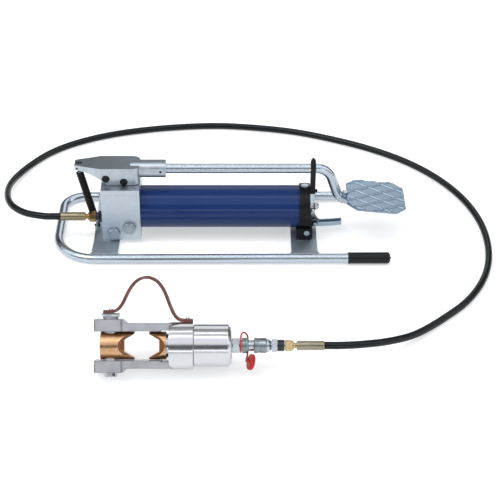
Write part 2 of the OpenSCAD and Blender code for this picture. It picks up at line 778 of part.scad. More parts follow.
module nut_washer() {
    color("goldenrod") at_pump() translate([0, 0, tank_z]) ring_x(9, rod_d / 2 + fit, cap_back, cap_back + 2);
}

// Cap nut of the tie rod, round at its end
module dome_nut() {
    color("silver") at_pump() translate([0, 0, tank_z]) difference() {
        union() {
            bar_x(7, cap_back + 2, cap_back + 8);
            translate([cap_back + 12.5, 0, 0]) sphere(r = 8);
        }
        bar_x(rod_d / 2 + fit, cap_back, cap_back + 10);
    }
}

// Peg that the hold-down strap is hooked on
module strap_peg() {
    color([0.05, 0.05, 0.05]) at_pump() translate([0, 0, peg_z]) {
        bar_x(peg_r, cap_back - 5, cap_back + strap_t + 5);
        bar_x(peg_r + 1, cap_back + strap_t + 1, cap_back + strap_t + 4);
    }
}

// Rubber strap over the lever tube, with a pointed tab on top and an eye on the peg
module hold_down_strap() {
    eye_r = 7;
    loop_r = lever_r + 3.2;
    color([0.05, 0.05, 0.05]) at_pump() translate([strap_x, 0, 0])
        rotate([90, 0, 90]) linear_extrude(strap_t) difference() {
            hull() {
                translate([0, peg_z]) circle(r = eye_r, $fn = 32);
                translate([0, lever_z]) circle(r = loop_r, $fn = 32);
                translate([0, lever_z + lever_r + 14]) circle(r = 2, $fn = 16);
            }
            translate([0, peg_z]) circle(r = peg_r + 0.1, $fn = 32);
            translate([0, lever_z]) circle(r = lever_r + loose, $fn = 48);
            hull() {
                translate([0, peg_z + eye_r + 4]) circle(r = 2.5, $fn = 32);
                translate([0, lever_z - lever_r - 8]) circle(r = 7, $fn = 32);
            }
        }
}

// Release pedal

module pedal_pin() {
    y = pedal_w / 2 + loose + ear_t + 1;
    color("silver") at_pump() translate([pedal_at[0], 0, pedal_at[1]]) {
        bar_y(pedal_pin_r, -y, y);
        bar_y(pedal_pin_r + 1.5, -y - 1.5, -y);
    }
}

// Pressed steel channel, curved up a little towards its end
module release_pedal() {
    x0 = pedal_at[0] - 5.5;
    x1 = pedal_at[0] + pedal_l;
    z0 = pedal_at[1] - 10;
    rise = 4;
    function floor_z(t) = z0 + rise * t * t;
    low = [for (t = [0 : 0.125 : 1]) [x0 + (x1 - x0) * t, floor_z(t)]];
    high = [for (t = [1 : -0.125 : 0.24]) [x0 + (x1 - x0) * t, floor_z(t) + pedal_h]];
    outline = concat(low, high, [[pedal_at[0] + 6, pedal_at[1] + 3], [pedal_at[0] + 2, pedal_at[1] + 5.5],
        [x0, pedal_at[1] + 5.5]]);
    color([0.6, 0.63, 0.66]) at_pump() difference() {
        slab_y(pedal_w) polygon(outline);
        slab_y(pedal_w - 2 * pedal_t) polygon(concat(
            [for (p = [for (t = [-0.125 : 0.125 : 1.125]) t]) [x0 + (x1 - x0) * p, floor_z(p) + pedal_t]],
            [[x1 + 10, z0 + 40], [x0 - 10, z0 + 40]]));
        translate([pedal_at[0], 0, pedal_at[1]]) bar_y(pedal_pin_r + fit, -pedal_w, pedal_w);
    }
    color([0.6, 0.63, 0.66]) at_pump() translate([pedal_hook[0], 0, pedal_hook[1]])
        bar_y(small_pin_r, -pedal_w / 2 + 0.5, pedal_w / 2 - 0.5);
}

module release_plunger() {
    color("silver") at_pump() translate([0, 0, plunger_z]) bar_x(plunger_r, foot_back - 17, foot_back + 1.2);
}

module pedal_spring() {
    color("silver") at_pump() spring(pedal_hook, cap_hook, pedal_wire_d, 2.5, small_pin_r, pedal_curls);
}

// Lever

// Lever head: nose with a fork for the spring, two cheeks, a socket for the tube
module lever_head() {
    // Rounded corner beside the socket, seen from above
    function corner_run(side, from, to) = [for (a = [from : (to - from) / 5 : to])
        [head_end - 18 * (1 - sin(a)), side * (socket_d / 2 - 4 + (head_w / 2 - socket_d / 2 + 4) * cos(a))]];
    cheek_x = fulcrum[0] - 10.5;
    curve_r = 86;
    color([0.68, 0.71, 0.75]) at_pump() difference() {
        union() {
            intersection() {
                difference() {
                    translate([nose_x, -head_w / 2, head_low]) cube([head_end - nose_x, head_w, head_h]);
                    translate([nose_x + 5.5, 0, head_top - 12 - curve_r]) bar_y(curve_r, -head_w, head_w);
                    translate([nose_x - cut, -head_w, head_low - cut])
                        cube([cheek_x - nose_x + cut, 2 * head_w, head_h - 28]);
                    translate([cheek_x - cut, -head_w, head_low - cut]) difference() {
                        cube([cut + 11, 2 * head_w, cut + 7]);
                        translate([fulcrum[0] - cheek_x + cut, 0, fulcrum[1] - head_low + cut])
                            bar_y(fulcrum_h - 1, -cut, 2 * head_w + cut);
                    }
                }
                translate([0, 0, head_low]) linear_extrude(head_h) polygon([
                    [nose_x, -nose_w / 2], [nose_x + 54, -head_w / 2], each corner_run(-1, 0, 90),
                    each corner_run(1, 90, 0), [nose_x + 54, head_w / 2], [nose_x, nose_w / 2]]);
            }
            translate([0, 0, lever_z]) bar_x(socket_d / 2, head_end - 20, socket_end - 1);
            translate([0, 0, lever_z]) bar_x(socket_d / 2 - 1, head_end, socket_end);
        }
        translate([fulcrum[0] - 17, -slot_w / 2, head_low - cut])
            cube([link[0] + 23 - fulcrum[0] + 17, slot_w, head_h - 8]);
        translate([nose_x - cut, -4, head_low]) cube([17 + cut, 8, head_h + cut]);
        translate([spring_top[0], 0, spring_top[1]]) bar_y(spring_pin_r + fit, -head_w, head_w);
        for (p = [fulcrum, link]) translate([p[0], 0, p[1]]) bar_y(pin_d / 2 + fit, -head_w, head_w);
        translate([0, 0, lever_z]) bar_x(lever_r + fit, tube_in - loose, socket_end + cut);
        translate([socket_end - 11, 0, lever_z]) rotate([-5, 0, 0]) bar_y(3 + fit, -head_w, 0);
    }
}

// Pin across the lever head, with a flat black head each side
module cross_pin(at) {
    half = head_w / 2;
    color([0.08, 0.08, 0.08]) at_pump() translate([at[0], 0, at[1]]) {
        bar_y(pin_d / 2, -half - 0.3, half + 0.3);
        for (s = [-1, 1]) translate([0, s * (half + 0.3), 0]) rotate([s * -90, 0, 0])
            cylinder(r1 = pin_head_d / 2, r2 = pin_head_d / 2 - 0.7, h = 1.7);
    }
}

module fulcrum_pin() {
    cross_pin(fulcrum);
}

module piston_pin() {
    cross_pin(link);
}

// Solid of the lever tube's lower bend, ending at the start of the last run
module low_bend(r) {
    translate([0, 0, low_bend_r]) rotate([90, 0, 0]) rotate([0, 0, 270 - bend_a + tread_a])
        rotate_extrude(angle = bend_a - tread_a) translate([low_bend_r, 0]) circle(r = r);
}

// Centreline of the lever tube, from the socket to its end under the tread plate
function arc(centre, r, a0, a1, n) = [for (i = [0 : n]) let (a = a0 + (a1 - a0) * i / n)
    [centre[0] + r * cos(a), 0, centre[1] + r * sin(a)]];
function lever_path(extra) = concat([[tube_in - extra, 0, lever_z]],
    arc([lever_run, lever_z - lever_bend_r], lever_bend_r, 90, 90 - bend_a, 9),
    arc([bend2[0] + low_bend_r * sin(bend_a), bend2[1] + low_bend_r * cos(bend_a)], low_bend_r,
        270 - bend_a, 270 - tread_a, 9),
    [[tread_at[0] + (tread_run + extra) * cos(tread_a), 0,
        tread_at[1] - (tread_run + extra) * sin(tread_a)]]);

module lever_tube() {
    color("gainsboro") at_pump() difference() {
        swept_tube(lever_path(0), lever_r, 28, [0, 1, 0]);
        swept_tube(lever_path(cut), lever_r - lever_wall, 20, [0, 1, 0]);
        translate([tread_at[0], 0, tread_at[1]]) rotate([0, tread_a, 0]) translate([bolt_x, 0, 0])
            cylinder(r = bolt_r + fit, h = lever_d);
    }
}

module socket_screw() {
    color("black") at_pump() translate([socket_end - 11, 0, lever_z]) rotate([-5, 0, 0]) difference() {
        bar_y(3, -socket_d / 2 + 1, -lever_r - loose);
        translate([0, -socket_d / 2 + 3, 0]) rotate([90, 0, 0]) cylinder(r = 1.6, h = 6, $fn = 6);
    }
}

// Eight sided tread plate with crossing ribs, welded on the lever's last run
module tread_plate() {
    c = 21;
    x1 = tread_x + tread_l;
    w = tread_w / 2;
    outline = [[tread_x, c - w], [tread_x + c, -w], [x1 - c, -w], [x1, c - w], [x1, w - c], [x1 - c, w],
        [tread_x + c, w], [tread_x, w - c]];
    span = tread_l + tread_w;
    color([0.68, 0.76, 0.84]) at_tread() translate([0, 0, lever_r + 0.02]) difference() {
        union() {
            linear_extrude(tread_t) polygon(outline);
            translate([tread_x - 8, -9, 0]) cube([20, 18, tread_t]);
            intersection() {
                linear_extrude(tread_t + rib_h) polygon(outline);
                for (a = [-rib_a, rib_a], i = [-3 : 3]) translate([tread_x + 78, 0, tread_t - cut])
                    rotate([0, 0, a]) translate([-span / 2, (i + 0.5) * rib_pitch - 2, 0])
                    cube([span, 4, cut + rib_h]);
            }
        }
        translate([0, 0, -lever_r - 0.02]) low_bend(lever_r + fit);
        translate([bolt_x, 0, -cut]) cylinder(r = bolt_r + fit, h = 20);
        translate([bolt_x, 0, tread_t]) cylinder(r = 7, h = 20);
    }
}

module tread_bolt() {
    color("silver") at_tread() translate([bolt_x, 0, lever_r + tread_t + 0.02]) {
        rotate([0, 0, 30]) cylinder(d = 10 / cos(30), h = 5, $fn = 6);
        translate([0, 0, -tread_t - lever_wall - 3]) cylinder(r = bolt_r, h = tread_t + lever_wall + 3);
    }
}

// Return spring

module spring_pin() {
    color("silver") at_pump() translate([spring_top[0], 0, spring_top[1]])
        bar_y(spring_pin_r, -nose_w / 2 - 2, nose_w / 2 + 2);
}

// Fork on the front bracket, with a pin for the spring's foot
module spring_anchor() {
    color("darkgray") at_pump() {
        translate([spring_foot[0] - 4, -11, seat_z]) cube([8, 22, 2]);
        for (s = [-1, 1]) translate([0, s * 9, 0]) {
            translate([spring_foot[0] - 4, -2, seat_z]) cube([8, 4, spring_foot[1] - seat_z]);
            translate([spring_foot[0], 0, spring_foot[1]]) bar_y(4, -2, 2);
        }
        translate([spring_foot[0], 0, spring_foot[1]]) bar_y(spring_pin_r, -12, 12);
    }
}

module return_spring() {
    color([0.1, 0.1, 0.1]) at_pump()
        spring(spring_foot, spring_top, wire_d, (coil_d - wire_d) / 2, spring_pin_r, curls);
}

// Hose and its fittings

module at_port() {
    translate(pump_face) mirror([1, 0, 0]) children();
}

module outlet_adapter() {
    color([0.28, 0.3, 0.32]) at_port() difference() {
        union() {
            bar_x(port_d / 2, -15, 0);
            hex_x(adapter_af, 0, adapter_l - 5);
            bar_x(adapter_af / 2 - 1.5, adapter_l - 5, adapter_l);
        }
        bar_x(3, -16, adapter_l + cut);
    }
}

// Hexagon nut with a stepped neck towards the ferrule
module hose_nut() {
    difference() {
        union() {
            hex_x(nut_af, 0, nut_l);
            bar_x(neck_r, nut_l - cut, nut_l + neck_l);
        }
        bar_x(3, -cut, nut_l + neck_l + cut);
    }
}

// Crimped ferrule with swaged grooves
module ferrule() {
    r = ferrule_d / 2;
    difference() {
        union() {
            bar_x(r - 1, 0, ferrule_l);
            bar_x(r, 1, ferrule_l - 1);
        }
        for (i = [0 : 2]) ring_x(r + cut, r - 0.6, ferrule_l - 12 - 11 * i, ferrule_l - 9 - 11 * i);
    }
}

module pump_hose_nut() {
    color([0.8, 0.62, 0.28]) at_port() translate([adapter_l, 0, 0]) hose_nut();
}

module pump_ferrule() {
    color([0.72, 0.66, 0.5]) at_port() translate([adapter_l + nut_l + neck_l, 0, 0]) ferrule();
}

module hose() {
    path = [for (q = smooth_run(hose_route, 2)) [q[0], q[1], max(q[2], hose_r)]];
    color([0.06, 0.06, 0.07]) swept_tube(path, hose_r, 10, [0, 0, 1]);
}

module head_ferrule() {
    color([0.62, 0.58, 0.48]) at_head() translate([head_ferrule_x, 0, 0]) ferrule();
}

module head_hose_nut() {
    color([0.8, 0.68, 0.36]) at_head() translate([head_nut_x, 0, 0]) hose_nut();
}

// Female half of the quick coupler, with its hexagon and dark ring nut
module coupler_body() {
    color([0.55, 0.58, 0.58]) at_head() difference() {
        union() {
            bar_x(body_r, coupler_x, tail_x - 6);
            translate([tail_x - 6, 0, 0]) rotate([0, 90, 0]) cylinder(r1 = body_r, r2 = 8, h = 6);
            bar_x(8, tail_x - cut, tail_x + cut);
            hex_x(tail_af, tail_x, tail_x + tail_l);
            bar_x(9, tail_x, ring_nut_x + 2);
            bar_x(tail_af / 2 - 0.5, ring_nut_x, ring_nut_x + ring_nut_l - 1);
            bar_x(9, ring_nut_x, head_nut_x);
        }
        bar_x(10 + fit, coupler_x - cut, coupler_x + 18);
        bar_x(3, coupler_x, head_nut_x + cut);
    }
}

// Sliding sleeve of the quick coupler, waisted
module coupler_sleeve() {
    r = sleeve_r;
    color([0.62, 0.66, 0.66]) at_head() translate([sleeve_x, 0, 0]) rotate([0, 90, 0]) difference() {
        rotate_extrude() polygon([[0, 0], [r - 1, 0], [r, 1], [r, 7], [r - 1, 9], [r - 1, 11], [r, 12.5],
            [r, sleeve_l - 1.5], [r - 1.5, sleeve_l], [0, sleeve_l]]);
        translate([0, 0, -cut]) cylinder(r = body_r + fit, h = sleeve_l + 2 * cut);
    }
}

// Inlet fitting of the head and male half of the quick coupler
module coupler_nipple() {
    color([0.74, 0.75, 0.75]) at_head() difference() {
        union() {
            bar_x(12, cyl_end + cone_l - 12, inlet_x + cut);
            hex_x(inlet_af, inlet_x, inlet_x + inlet_l);
            bar_x(10.5, inlet_x, nipple_x + cut);
            bar_x(sleeve_r, nipple_x + 1, nipple_x + 12);
            bar_x(sleeve_r - 1, nipple_x, nipple_x + 13);
            bar_x(11, nipple_x, coupler_x);
            bar_x(10, nipple_x, coupler_x + 17);
        }
        bar_x(3, cyl_end, coupler_x + 18);
    }
}

// Red dust cap, hanging below the coupler on its tether
module dust_cap() {
    color([0.75, 0.1, 0.12]) at_head() translate([nipple_x + 13.5, -4, -sleeve_r - dust_d / 2 - 0.5])
        rotate([0, 102, 18]) difference() {
            union() {
                cylinder(r = dust_d / 2 - 1, h = 8);
                translate([0, 0, 1]) cylinder(r = dust_d / 2, h = 6);
            }
            translate([0, 0, 2]) cylinder(r = dust_d / 2 - 3, h = 8);
        }
}

// Plastic tether: an eye round the nipple's neck, a loop and a tail to the cap
module dust_cap_tether() {
    t = 3;
    eye_x = inlet_x + inlet_l + 0.3;
    tail = [[eye_x + 1.5, 0, 0], [eye_x + 1.5, 0, 12.5], [eye_x + 3, 1, 22], [eye_x + 7, 3, 25],
        [eye_x + 12, 7, 22], [eye_x + 15, 13, 15], [eye_x + 15, 18, 5], [eye_x + 15, 19, -6],
        [eye_x + 14, 14, -20], [eye_x + 12, 6, -27], [eye_x + 12, -2, -30.2],
        [eye_x + 14.2, -4.6, -30.4], [eye_x + 16.8, -4.1, -30.9], [eye_x + 19, -3.4, -31.4]];
    color([0.8, 0.22, 0.18]) at_head() {
        ring_x(14, 10.5 + loose, eye_x, eye_x + t);
        swept_tube(smooth_run(tail, 3), t / 2, 8, [1, 0, 0]);
    }
}

// Crimping head

module cylinder_body() {
    r = cyl_d / 2;
    color([0.8, 0.81, 0.82]) at_head() rotate([0, 90, 0]) difference() {
        rotate_extrude() polygon([[0, spigot_x], [spigot_r, spigot_x], [spigot_r, cyl_x], [r - 1, cyl_x],
            [r, cyl_x + 1], [r, cyl_end], [r - 5, cyl_end + cone_l - 1], [r - 8, cyl_end + cone_l],
            [0, cyl_end + cone_l]]);
        translate([0, 0, spigot_x - cut]) cylinder(r = ram_r + fit, h = piston_end + 4 - spigot_x + cut);
        translate([0, 0, piston_end]) cylinder(r = 4, h = 10);
        translate([0, 0, cyl_end + cone_l - 12.5]) cylinder(r = 12 + fit, h = 20);
    }
}

// Forged fork: hub, two arms with thick ends, bores for the locking pin
module yoke() {
    arm = [[end_x + 3, arm_z], [end_x + 3, end_top], [end_x + end_l, end_top],
        [end_x + end_l + end_slope, arm_z + arm_t], [hub_x + 4, arm_z + arm_t], [hub_x + 4, arm_z]];
    color([0.72, 0.73, 0.74]) at_head() difference() {
        union() {
            for (s = [0, 1]) mirror([0, 0, s]) {
                slab_y(2 * arm_half_w) polygon(arm);
                intersection() {
                    translate([end_x, -end_half_w, arm_z]) cube([end_l, 2 * end_half_w, end_top - arm_z]);
                    union() {
                        translate([end_x + 2, -end_half_w, arm_z]) cube([end_l - 4, 2 * end_half_w, 50]);
                        translate([end_x, 2 - end_half_w, arm_z]) cube([end_l, 2 * end_half_w - 4, 50]);
                    }
                }
            }
            difference() {
                bar_x(hub_r, hub_x, hub_end);
                translate([hub_x - cut, -hub_r, hub_flat]) cube([hub_l + 2 * cut, hub_d, 10]);
            }
            bar_x(hub_r - 2, hub_x - 2, hub_x);
        }
        bar_x(recess_r, recess_x, hub_x + 4);
        bar_x(rod_r + fit, hub_x - cut, hub_end + cut);
        bar_x(spigot_r + fit, spigot_x, hub_end + cut);
        translate([0, 0, -100]) cylinder(r = lock_r + fit, h = 200);
        rivet_bars(hub_end - 11, hub_flat, hub_rivet_l, rivet_r + fit);
    }
}

// Ram: piston with its ring, and the rod that carries the moving die
module ram() {
    color([0.8, 0.8, 0.82]) at_head() {
        difference() {
            bar_x(ram_r, piston_end - piston_l, piston_end);
            ring_x(ram_r + cut, ram_r - 2, piston_end - 12, piston_end - 7);
        }
        bar_x(rod_r, die_half + moving_l, piston_end - piston_l + cut);
    }
}

// Return spring of the ram, closed up round the rod
module ram_spring() {
    color("dimgray") at_head() ring_x(ram_r - 2, rod_r + 2, spigot_x + loose, piston_end - piston_l - loose);
}

// Cutter for a die: hexagon and bell mouths, centred on the joint of the dies
module hex_cut() {
    rotate([90, 0, 0]) rotate([0, 0, 30]) cylinder(d = hex_af / cos(30), h = 4 * die_r, center = true, $fn = 6);
    for (s = [-1, 1]) rotate([s * 90, 0, 0]) translate([0, 0, bell_y])
        cylinder(r1 = land_r - 1, r2 = land_r - 1 + bell_slope * 2 * die_r, h = 2 * die_r);
}

module moving_die() {
    color([0.75, 0.52, 0.28]) at_head() difference() {
        union() {
            bar_x(die_r, die_half, die_half + moving_l - 1);
            bar_x(die_r - 1, die_half, die_half + moving_l);
        }
        translate([die_half - fit, 0, 0]) hex_cut();
    }
}

// Die held in the fork's end by the locking pin, slightly crowned at its back
module fixed_die() {
    back = 21;
    color([0.75, 0.52, 0.28]) at_head() difference() {
        intersection() {
            bar_x(die_r, -back, joint_x);
            translate([160 - back, 0, 0]) sphere(r = 160, $fn = 128);
        }
        translate([joint_x + fit, 0, 0]) hex_cut();
        translate([0, 0, -50]) cylinder(r = lock_r + fit, h = 100);
    }
}

module locking_pin() {
    color([0.66, 0.67, 0.69]) at_head() difference() {
        union() {
            translate([0, 0, -lock_low]) cylinder(r1 = lock_r - 1, r2 = lock_r, h = 1);
            translate([0, 0, 1 - lock_low]) cylinder(r = lock_r, h = lock_low + end_top);
            translate([0, 0, end_top + 0.3]) cylinder(r1 = lock_r + 1, r2 = lock_head_d / 2 - 2,
                h = lock_head_z - end_top - 0.3);
            translate([0, 0, lock_head_z]) cylinder(r = lock_head_d / 2, h = lock_head_t - 1);
            translate([0, 0, lock_head_z]) cylinder(r = lock_head_d / 2 - 1, h = lock_head_t);
        }
        translate([0, 0, lock_hole_r + 1.2 - lock_low]) rotate([0, 0, 30]) bar_y(lock_hole_r, -50, 50);
        rivet_bars(0, lock_top, pin_rivet_l, rivet_r + fit);
    }
}

// Leather strap that ties the locking pin to the hub, arched between them
module pin_strap() {
    mid = smooth_run(leather_route, 3);
    n = len(mid) - 1;
    function normal(i) = let (t = tangent(mid, i)) [-t[1], t[0]] * leather_t / 2;
    color([0.42, 0.2, 0.15]) at_head() difference() {
        slab_y(leather_w) polygon(concat([for (i = [0 : n]) mid[i] + normal(i)],
            [for (i = [n : -1 : 0]) mid[i] - normal(i)]));
        for (x = [-2.5, 2.5, hub_end - 13.5, hub_end - 8.5]) translate([x, 0, 0])
            cylinder(r = rivet_r + fit, h = 100, $fn = 24);
    }
}

// Two rivets through the strap, standing proud of it
module rivets(x, z, depth) {
    color("dimgray") at_head() rivet_bars(x, z, depth, rivet_r);
}

module rivet_bars(x, z, depth, r) {
    for (s = [-1, 1]) translate([x + s * 2.5, 0, z - depth])
        cylinder(r = r, h = depth + leather_t + 3, $fn = 24);
}

module pin_rivets() {
    rivets(0, lock_top, pin_rivet_l);
}

module hub_rivets() {
    rivets(hub_end - 11, hub_flat, hub_rivet_l);
}

base_frame();
front_bracket();
rear_bracket();
grip_near();
grip_far();
bracket_screws();
pump_block();
block_screws();
valve_plugs();
valve_balls();
piston_gland();
piston_seal();
pump_piston();
reservoir_tube();
reservoir_seals();
suction_strainer();
tie_rod();
end_cap();
foot_plugs();
filler_plug();
nut_washer();
dome_nut();
strap_peg();
hold_down_strap();
pedal_pin();
release_pedal();
release_plunger();
pedal_spring();
lever_head();
fulcrum_pin();
piston_pin();
lever_tube();
socket_screw();
tread_plate();
tread_bolt();
spring_pin();
spring_anchor();
return_spring();
outlet_adapter();
pump_hose_nut();
pump_ferrule();
hose();
head_ferrule();
head_hose_nut();
coupler_body();
coupler_sleeve();
coupler_nipple();
dust_cap();
dust_cap_tether();
cylinder_body();
yoke();
ram();
ram_spring();
moving_die();
fixed_die();
locking_pin();
pin_strap();
pin_rivets();
hub_rivets();
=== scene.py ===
"""Looks of a foot operated hydraulic pump, its hose and its crimping head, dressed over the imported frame."""

import json
import logging
from collections.abc import Iterator
from contextlib import contextmanager
from dataclasses import dataclass
from enum import Enum
from functools import cache
from math import atan2, cos, pi, radians, sin

import bpy
from mathutils import Matrix, Vector

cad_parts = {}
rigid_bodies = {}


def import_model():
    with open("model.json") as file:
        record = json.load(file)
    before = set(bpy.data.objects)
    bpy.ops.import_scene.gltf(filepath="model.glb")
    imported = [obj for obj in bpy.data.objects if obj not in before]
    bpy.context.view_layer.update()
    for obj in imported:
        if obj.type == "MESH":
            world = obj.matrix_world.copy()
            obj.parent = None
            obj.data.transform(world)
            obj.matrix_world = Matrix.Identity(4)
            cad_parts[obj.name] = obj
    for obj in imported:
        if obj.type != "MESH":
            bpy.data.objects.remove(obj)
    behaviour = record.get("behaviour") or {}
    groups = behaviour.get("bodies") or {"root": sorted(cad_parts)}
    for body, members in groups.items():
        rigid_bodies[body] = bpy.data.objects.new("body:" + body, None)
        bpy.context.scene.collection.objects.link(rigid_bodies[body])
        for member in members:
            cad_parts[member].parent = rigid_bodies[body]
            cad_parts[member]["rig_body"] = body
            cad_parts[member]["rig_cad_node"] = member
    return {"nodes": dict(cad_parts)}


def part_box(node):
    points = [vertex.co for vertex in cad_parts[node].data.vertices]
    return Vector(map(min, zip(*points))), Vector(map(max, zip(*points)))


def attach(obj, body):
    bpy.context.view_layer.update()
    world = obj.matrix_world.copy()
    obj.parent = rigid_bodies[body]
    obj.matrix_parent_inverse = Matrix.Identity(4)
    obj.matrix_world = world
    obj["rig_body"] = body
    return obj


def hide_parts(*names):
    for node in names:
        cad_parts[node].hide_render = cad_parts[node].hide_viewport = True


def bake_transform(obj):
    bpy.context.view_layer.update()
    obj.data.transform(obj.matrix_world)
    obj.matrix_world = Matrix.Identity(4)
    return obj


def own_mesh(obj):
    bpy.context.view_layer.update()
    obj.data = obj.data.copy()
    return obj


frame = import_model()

log = logging.getLogger("scene")
MM = 0.001
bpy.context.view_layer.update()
Point = tuple[float, float]
Place = tuple[float, float, float]
Colour = tuple[float, float, float]
Mesh = bpy.types.Object
Node = bpy.types.Node
Socket = bpy.types.NodeSocket


class Body(Enum):
    """The bodies of the frame that pieces ride on."""

    ROOT = "pump_and_head"
    LEVER = "lever"
    PEDAL = "pedal"
    RAM = "ram"
    PIN = "pin"
    SLEEVE = "sleeve"


class Along(Enum):
    """The direction in which a drawn or turned surface has its fine lines."""

    X = (0.05, 1.0, 1.0)
    NONE = (1.0, 1.0, 1.0)


def centre(node: str) -> Vector:
    """Middle of a CAD node's box, in metres."""
    low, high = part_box(node)
    return (low + high) / 2


def start_of(node: str) -> Vector:
    """Middle of a CAD node's end at low X, in metres."""
    middle = centre(node)
    return Vector((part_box(node)[0].x, middle.y, middle.z))


def spot(x: float, y: float, z: float) -> Vector:
    """A place given in millimetres, in metres."""
    return Vector((x, y, z)) * MM


def shift(x: float = 0.0, y: float = 0.0, z: float = 0.0) -> Matrix:
    """A move in millimetres."""
    return Matrix.Translation((x * MM, y * MM, z * MM))


def turn(angle: float, axis: str) -> Matrix:
    """A turn in degrees about X, Y or Z."""
    return Matrix.Rotation(radians(angle), 4, axis)


def along_head(node: str) -> float:
    """Start of a CAD node along the head, in millimetres from the locking pin's axis."""
    return (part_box(node)[0].x - HEAD.translation.x) / MM


CONE_END = 0.233
ROLL = 35.0
PUMP = Matrix.Translation((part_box("reservoir_tube")[0].x, centre("reservoir_tube").y, 0.0))
HEAD_AXIS = centre("cylinder_body")
HEAD = Matrix.Translation(
    (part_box("cylinder_body")[1].x - CONE_END, HEAD_AXIS.y, HEAD_AXIS.z)) @ turn(-ROLL, "X")


class Shop:
    """Modelling steps that several sub-assemblies share, made with Blender's own operators."""

    @staticmethod
    def clear() -> None:
        """Leaves edit mode and deselects everything."""
        if bpy.context.object and bpy.context.object.mode != "OBJECT":
            bpy.ops.object.mode_set(mode="OBJECT")
        bpy.ops.object.select_all(action="DESELECT")

    @classmethod
    def pick(cls, piece: Mesh) -> None:
        """Makes one object the only selected and active one."""
        cls.clear()
        piece.select_set(True)
        bpy.context.view_layer.objects.active = piece

    @classmethod
    @contextmanager
    def editing(cls, piece: Mesh, outward: bool = True) -> Iterator[None]:
        """Opens a piece in edit mode with everything selected and closes it again.

        Args:
            piece: The object to edit.
            outward: True where its faces are to point outwards at the end.
        """
        cls.pick(piece)
        bpy.ops.object.mode_set(mode="EDIT")
        bpy.ops.mesh.select_all(action="SELECT")
        yield
        if outward:
            bpy.ops.mesh.select_all(action="SELECT")
            bpy.ops.mesh.normals_make_consistent(inside=False)
        bpy.ops.object.mode_set(mode="OBJECT")

    @classmethod
    def place(cls, piece: Mesh, where: Matrix) -> Mesh:
        """Puts a piece in place and writes the place into its mesh.

        Args:
            piece: The object, modelled about the origin.
            where: Its place in the row frame.

        Returns:
            The same object, at the origin.
        """
        piece.matrix_world = where @ piece.matrix_world
        cls.pick(piece)
        bpy.ops.object.transform_apply(location=True, rotation=True, scale=True)
        return piece

    @classmethod
    def turned(cls, name: str, profile: list[Point], sides: int = 48, closed: bool = False) -> Mesh:
        """Turns a round piece about X from a profile.

        Args:
            name: Name of the new object.
            profile: Distances along X and from the axis, in millimetres.
            sides: Steps round the axis.
            closed: True where the profile runs back to its start, as on a ring.

        Returns:
            The turned piece, with outward faces.
        """
        cls.clear()
        bpy.ops.mesh.primitive_plane_add(size=0.01)
        piece = bpy.context.object
        piece.name = name
        points = profile + profile[:1] if closed else profile
        with cls.editing(piece):
            bpy.ops.mesh.merge(type="CENTER")
            bpy.ops.transform.translate(value=(points[0][0] * MM, 0, points[0][1] * MM))
            for (x0, r0), (x1, r1) in zip(points, points[1:]):
                step = ((x1 - x0) * MM, 0, (r1 - r0) * MM)
                bpy.ops.mesh.extrude_vertices_move(TRANSFORM_OT_translate={"value": step})
            bpy.ops.mesh.select_all(action="SELECT")
            bpy.ops.mesh.spin(steps=sides, angle=2 * pi, center=(0, 0, 0), axis=(1, 0, 0))
            bpy.ops.mesh.select_all(action="SELECT")
            bpy.ops.mesh.remove_doubles(threshold=2e-6)
        return piece

    @classmethod
    def extruded(cls, name: str, corners: list[Place], step: Place) -> Mesh:
        """Pushes a flat outline out into a closed piece.

        Args:
            name: Name of the new object.
            corners: Corners of the outline in millimetres, in order.
            step: How far the outline is pushed, in millimetres.

        Returns:
            The closed piece.
        """
        cls.clear()
        bpy.ops.mesh.primitive_circle_add(vertices=len(corners), radius=1.0, fill_type="NGON")
        piece = bpy.context.object
        piece.name = name
        for vertex, corner in zip(piece.data.vertices, corners):
            vertex.co = tuple(v * MM for v in corner)
        with cls.editing(piece):
            move = {"value": tuple(v * MM for v in step)}
            bpy.ops.mesh.extrude_region_move(TRANSFORM_OT_translate=move)
        return piece

    @classmethod
    def prism(cls, name: str, outline: list[Point], y0: float, y1: float) -> Mesh:
        """Pushes an outline in X and Z out along Y, from y0 to y1."""
        return cls.extruded(name, [(x, y0, z) for x, z in outline], (0, y1 - y0, 0))

    @classmethod
    def hexagon(cls, name: str, across: float, x0: float, x1: float, chamfer: float) -> Mesh:
        """Makes a hexagonal nut or head along X, its corners turned off at both ends.

        Args:
            name: Name of the new object.
            across: Width across the flats, in millimetres.
            x0: Start along X.
            x1: End along X.
            chamfer: Length along X over which the corners are turned off.

        Returns:
            The nut, without its bore.
        """
        corner = across / 2 / cos(radians(30))
        ring = [(x0, corner * cos(k * pi / 3), corner * sin(k * pi / 3)) for k in range(6)]
        piece = cls.extruded(name, ring, (x1 - x0, 0, 0))
        low, rim = across / 2 - 0.1, corner - 0.25
        envelope = cls.turned(name + "_envelope", [
            (x0 - 0.01, 0), (x0 - 0.01, low), (x0 + chamfer, rim), (x1 - chamfer, rim), (x1 + 0.01, low),
            (x1 + 0.01, 0)], 72)
        return cls.carve(piece, envelope, "INTERSECT")

    @classmethod
    def modify(cls, piece: Mesh, kind: str, **settings: object) -> None:
        """Adds a modifier to a piece and applies it.

        Args:
            piece: The object to change.
            kind: Type of the modifier.
            **settings: Its settings.
        """
        cls.pick(piece)
        modifier = piece.modifiers.new(kind, kind)
        for key, value in settings.items():
            setattr(modifier, key, value)
        bpy.ops.object.modifier_apply(modifier=modifier.name)

    @classmethod
    def carve(cls, piece: Mesh, tool: Mesh, how: str = "DIFFERENCE") -> Mesh:
        """Cuts or intersects a piece with a tool and removes the tool.

        Args:
            piece: The object to cut.
            tool: The object that cuts it.
            how: The boolean operation.

        Returns:
            The cut object.
        """
        cls.modify(piece, "BOOLEAN", object=tool, operation=how, solver="EXACT")
        bpy.data.objects.remove(tool)
        return piece

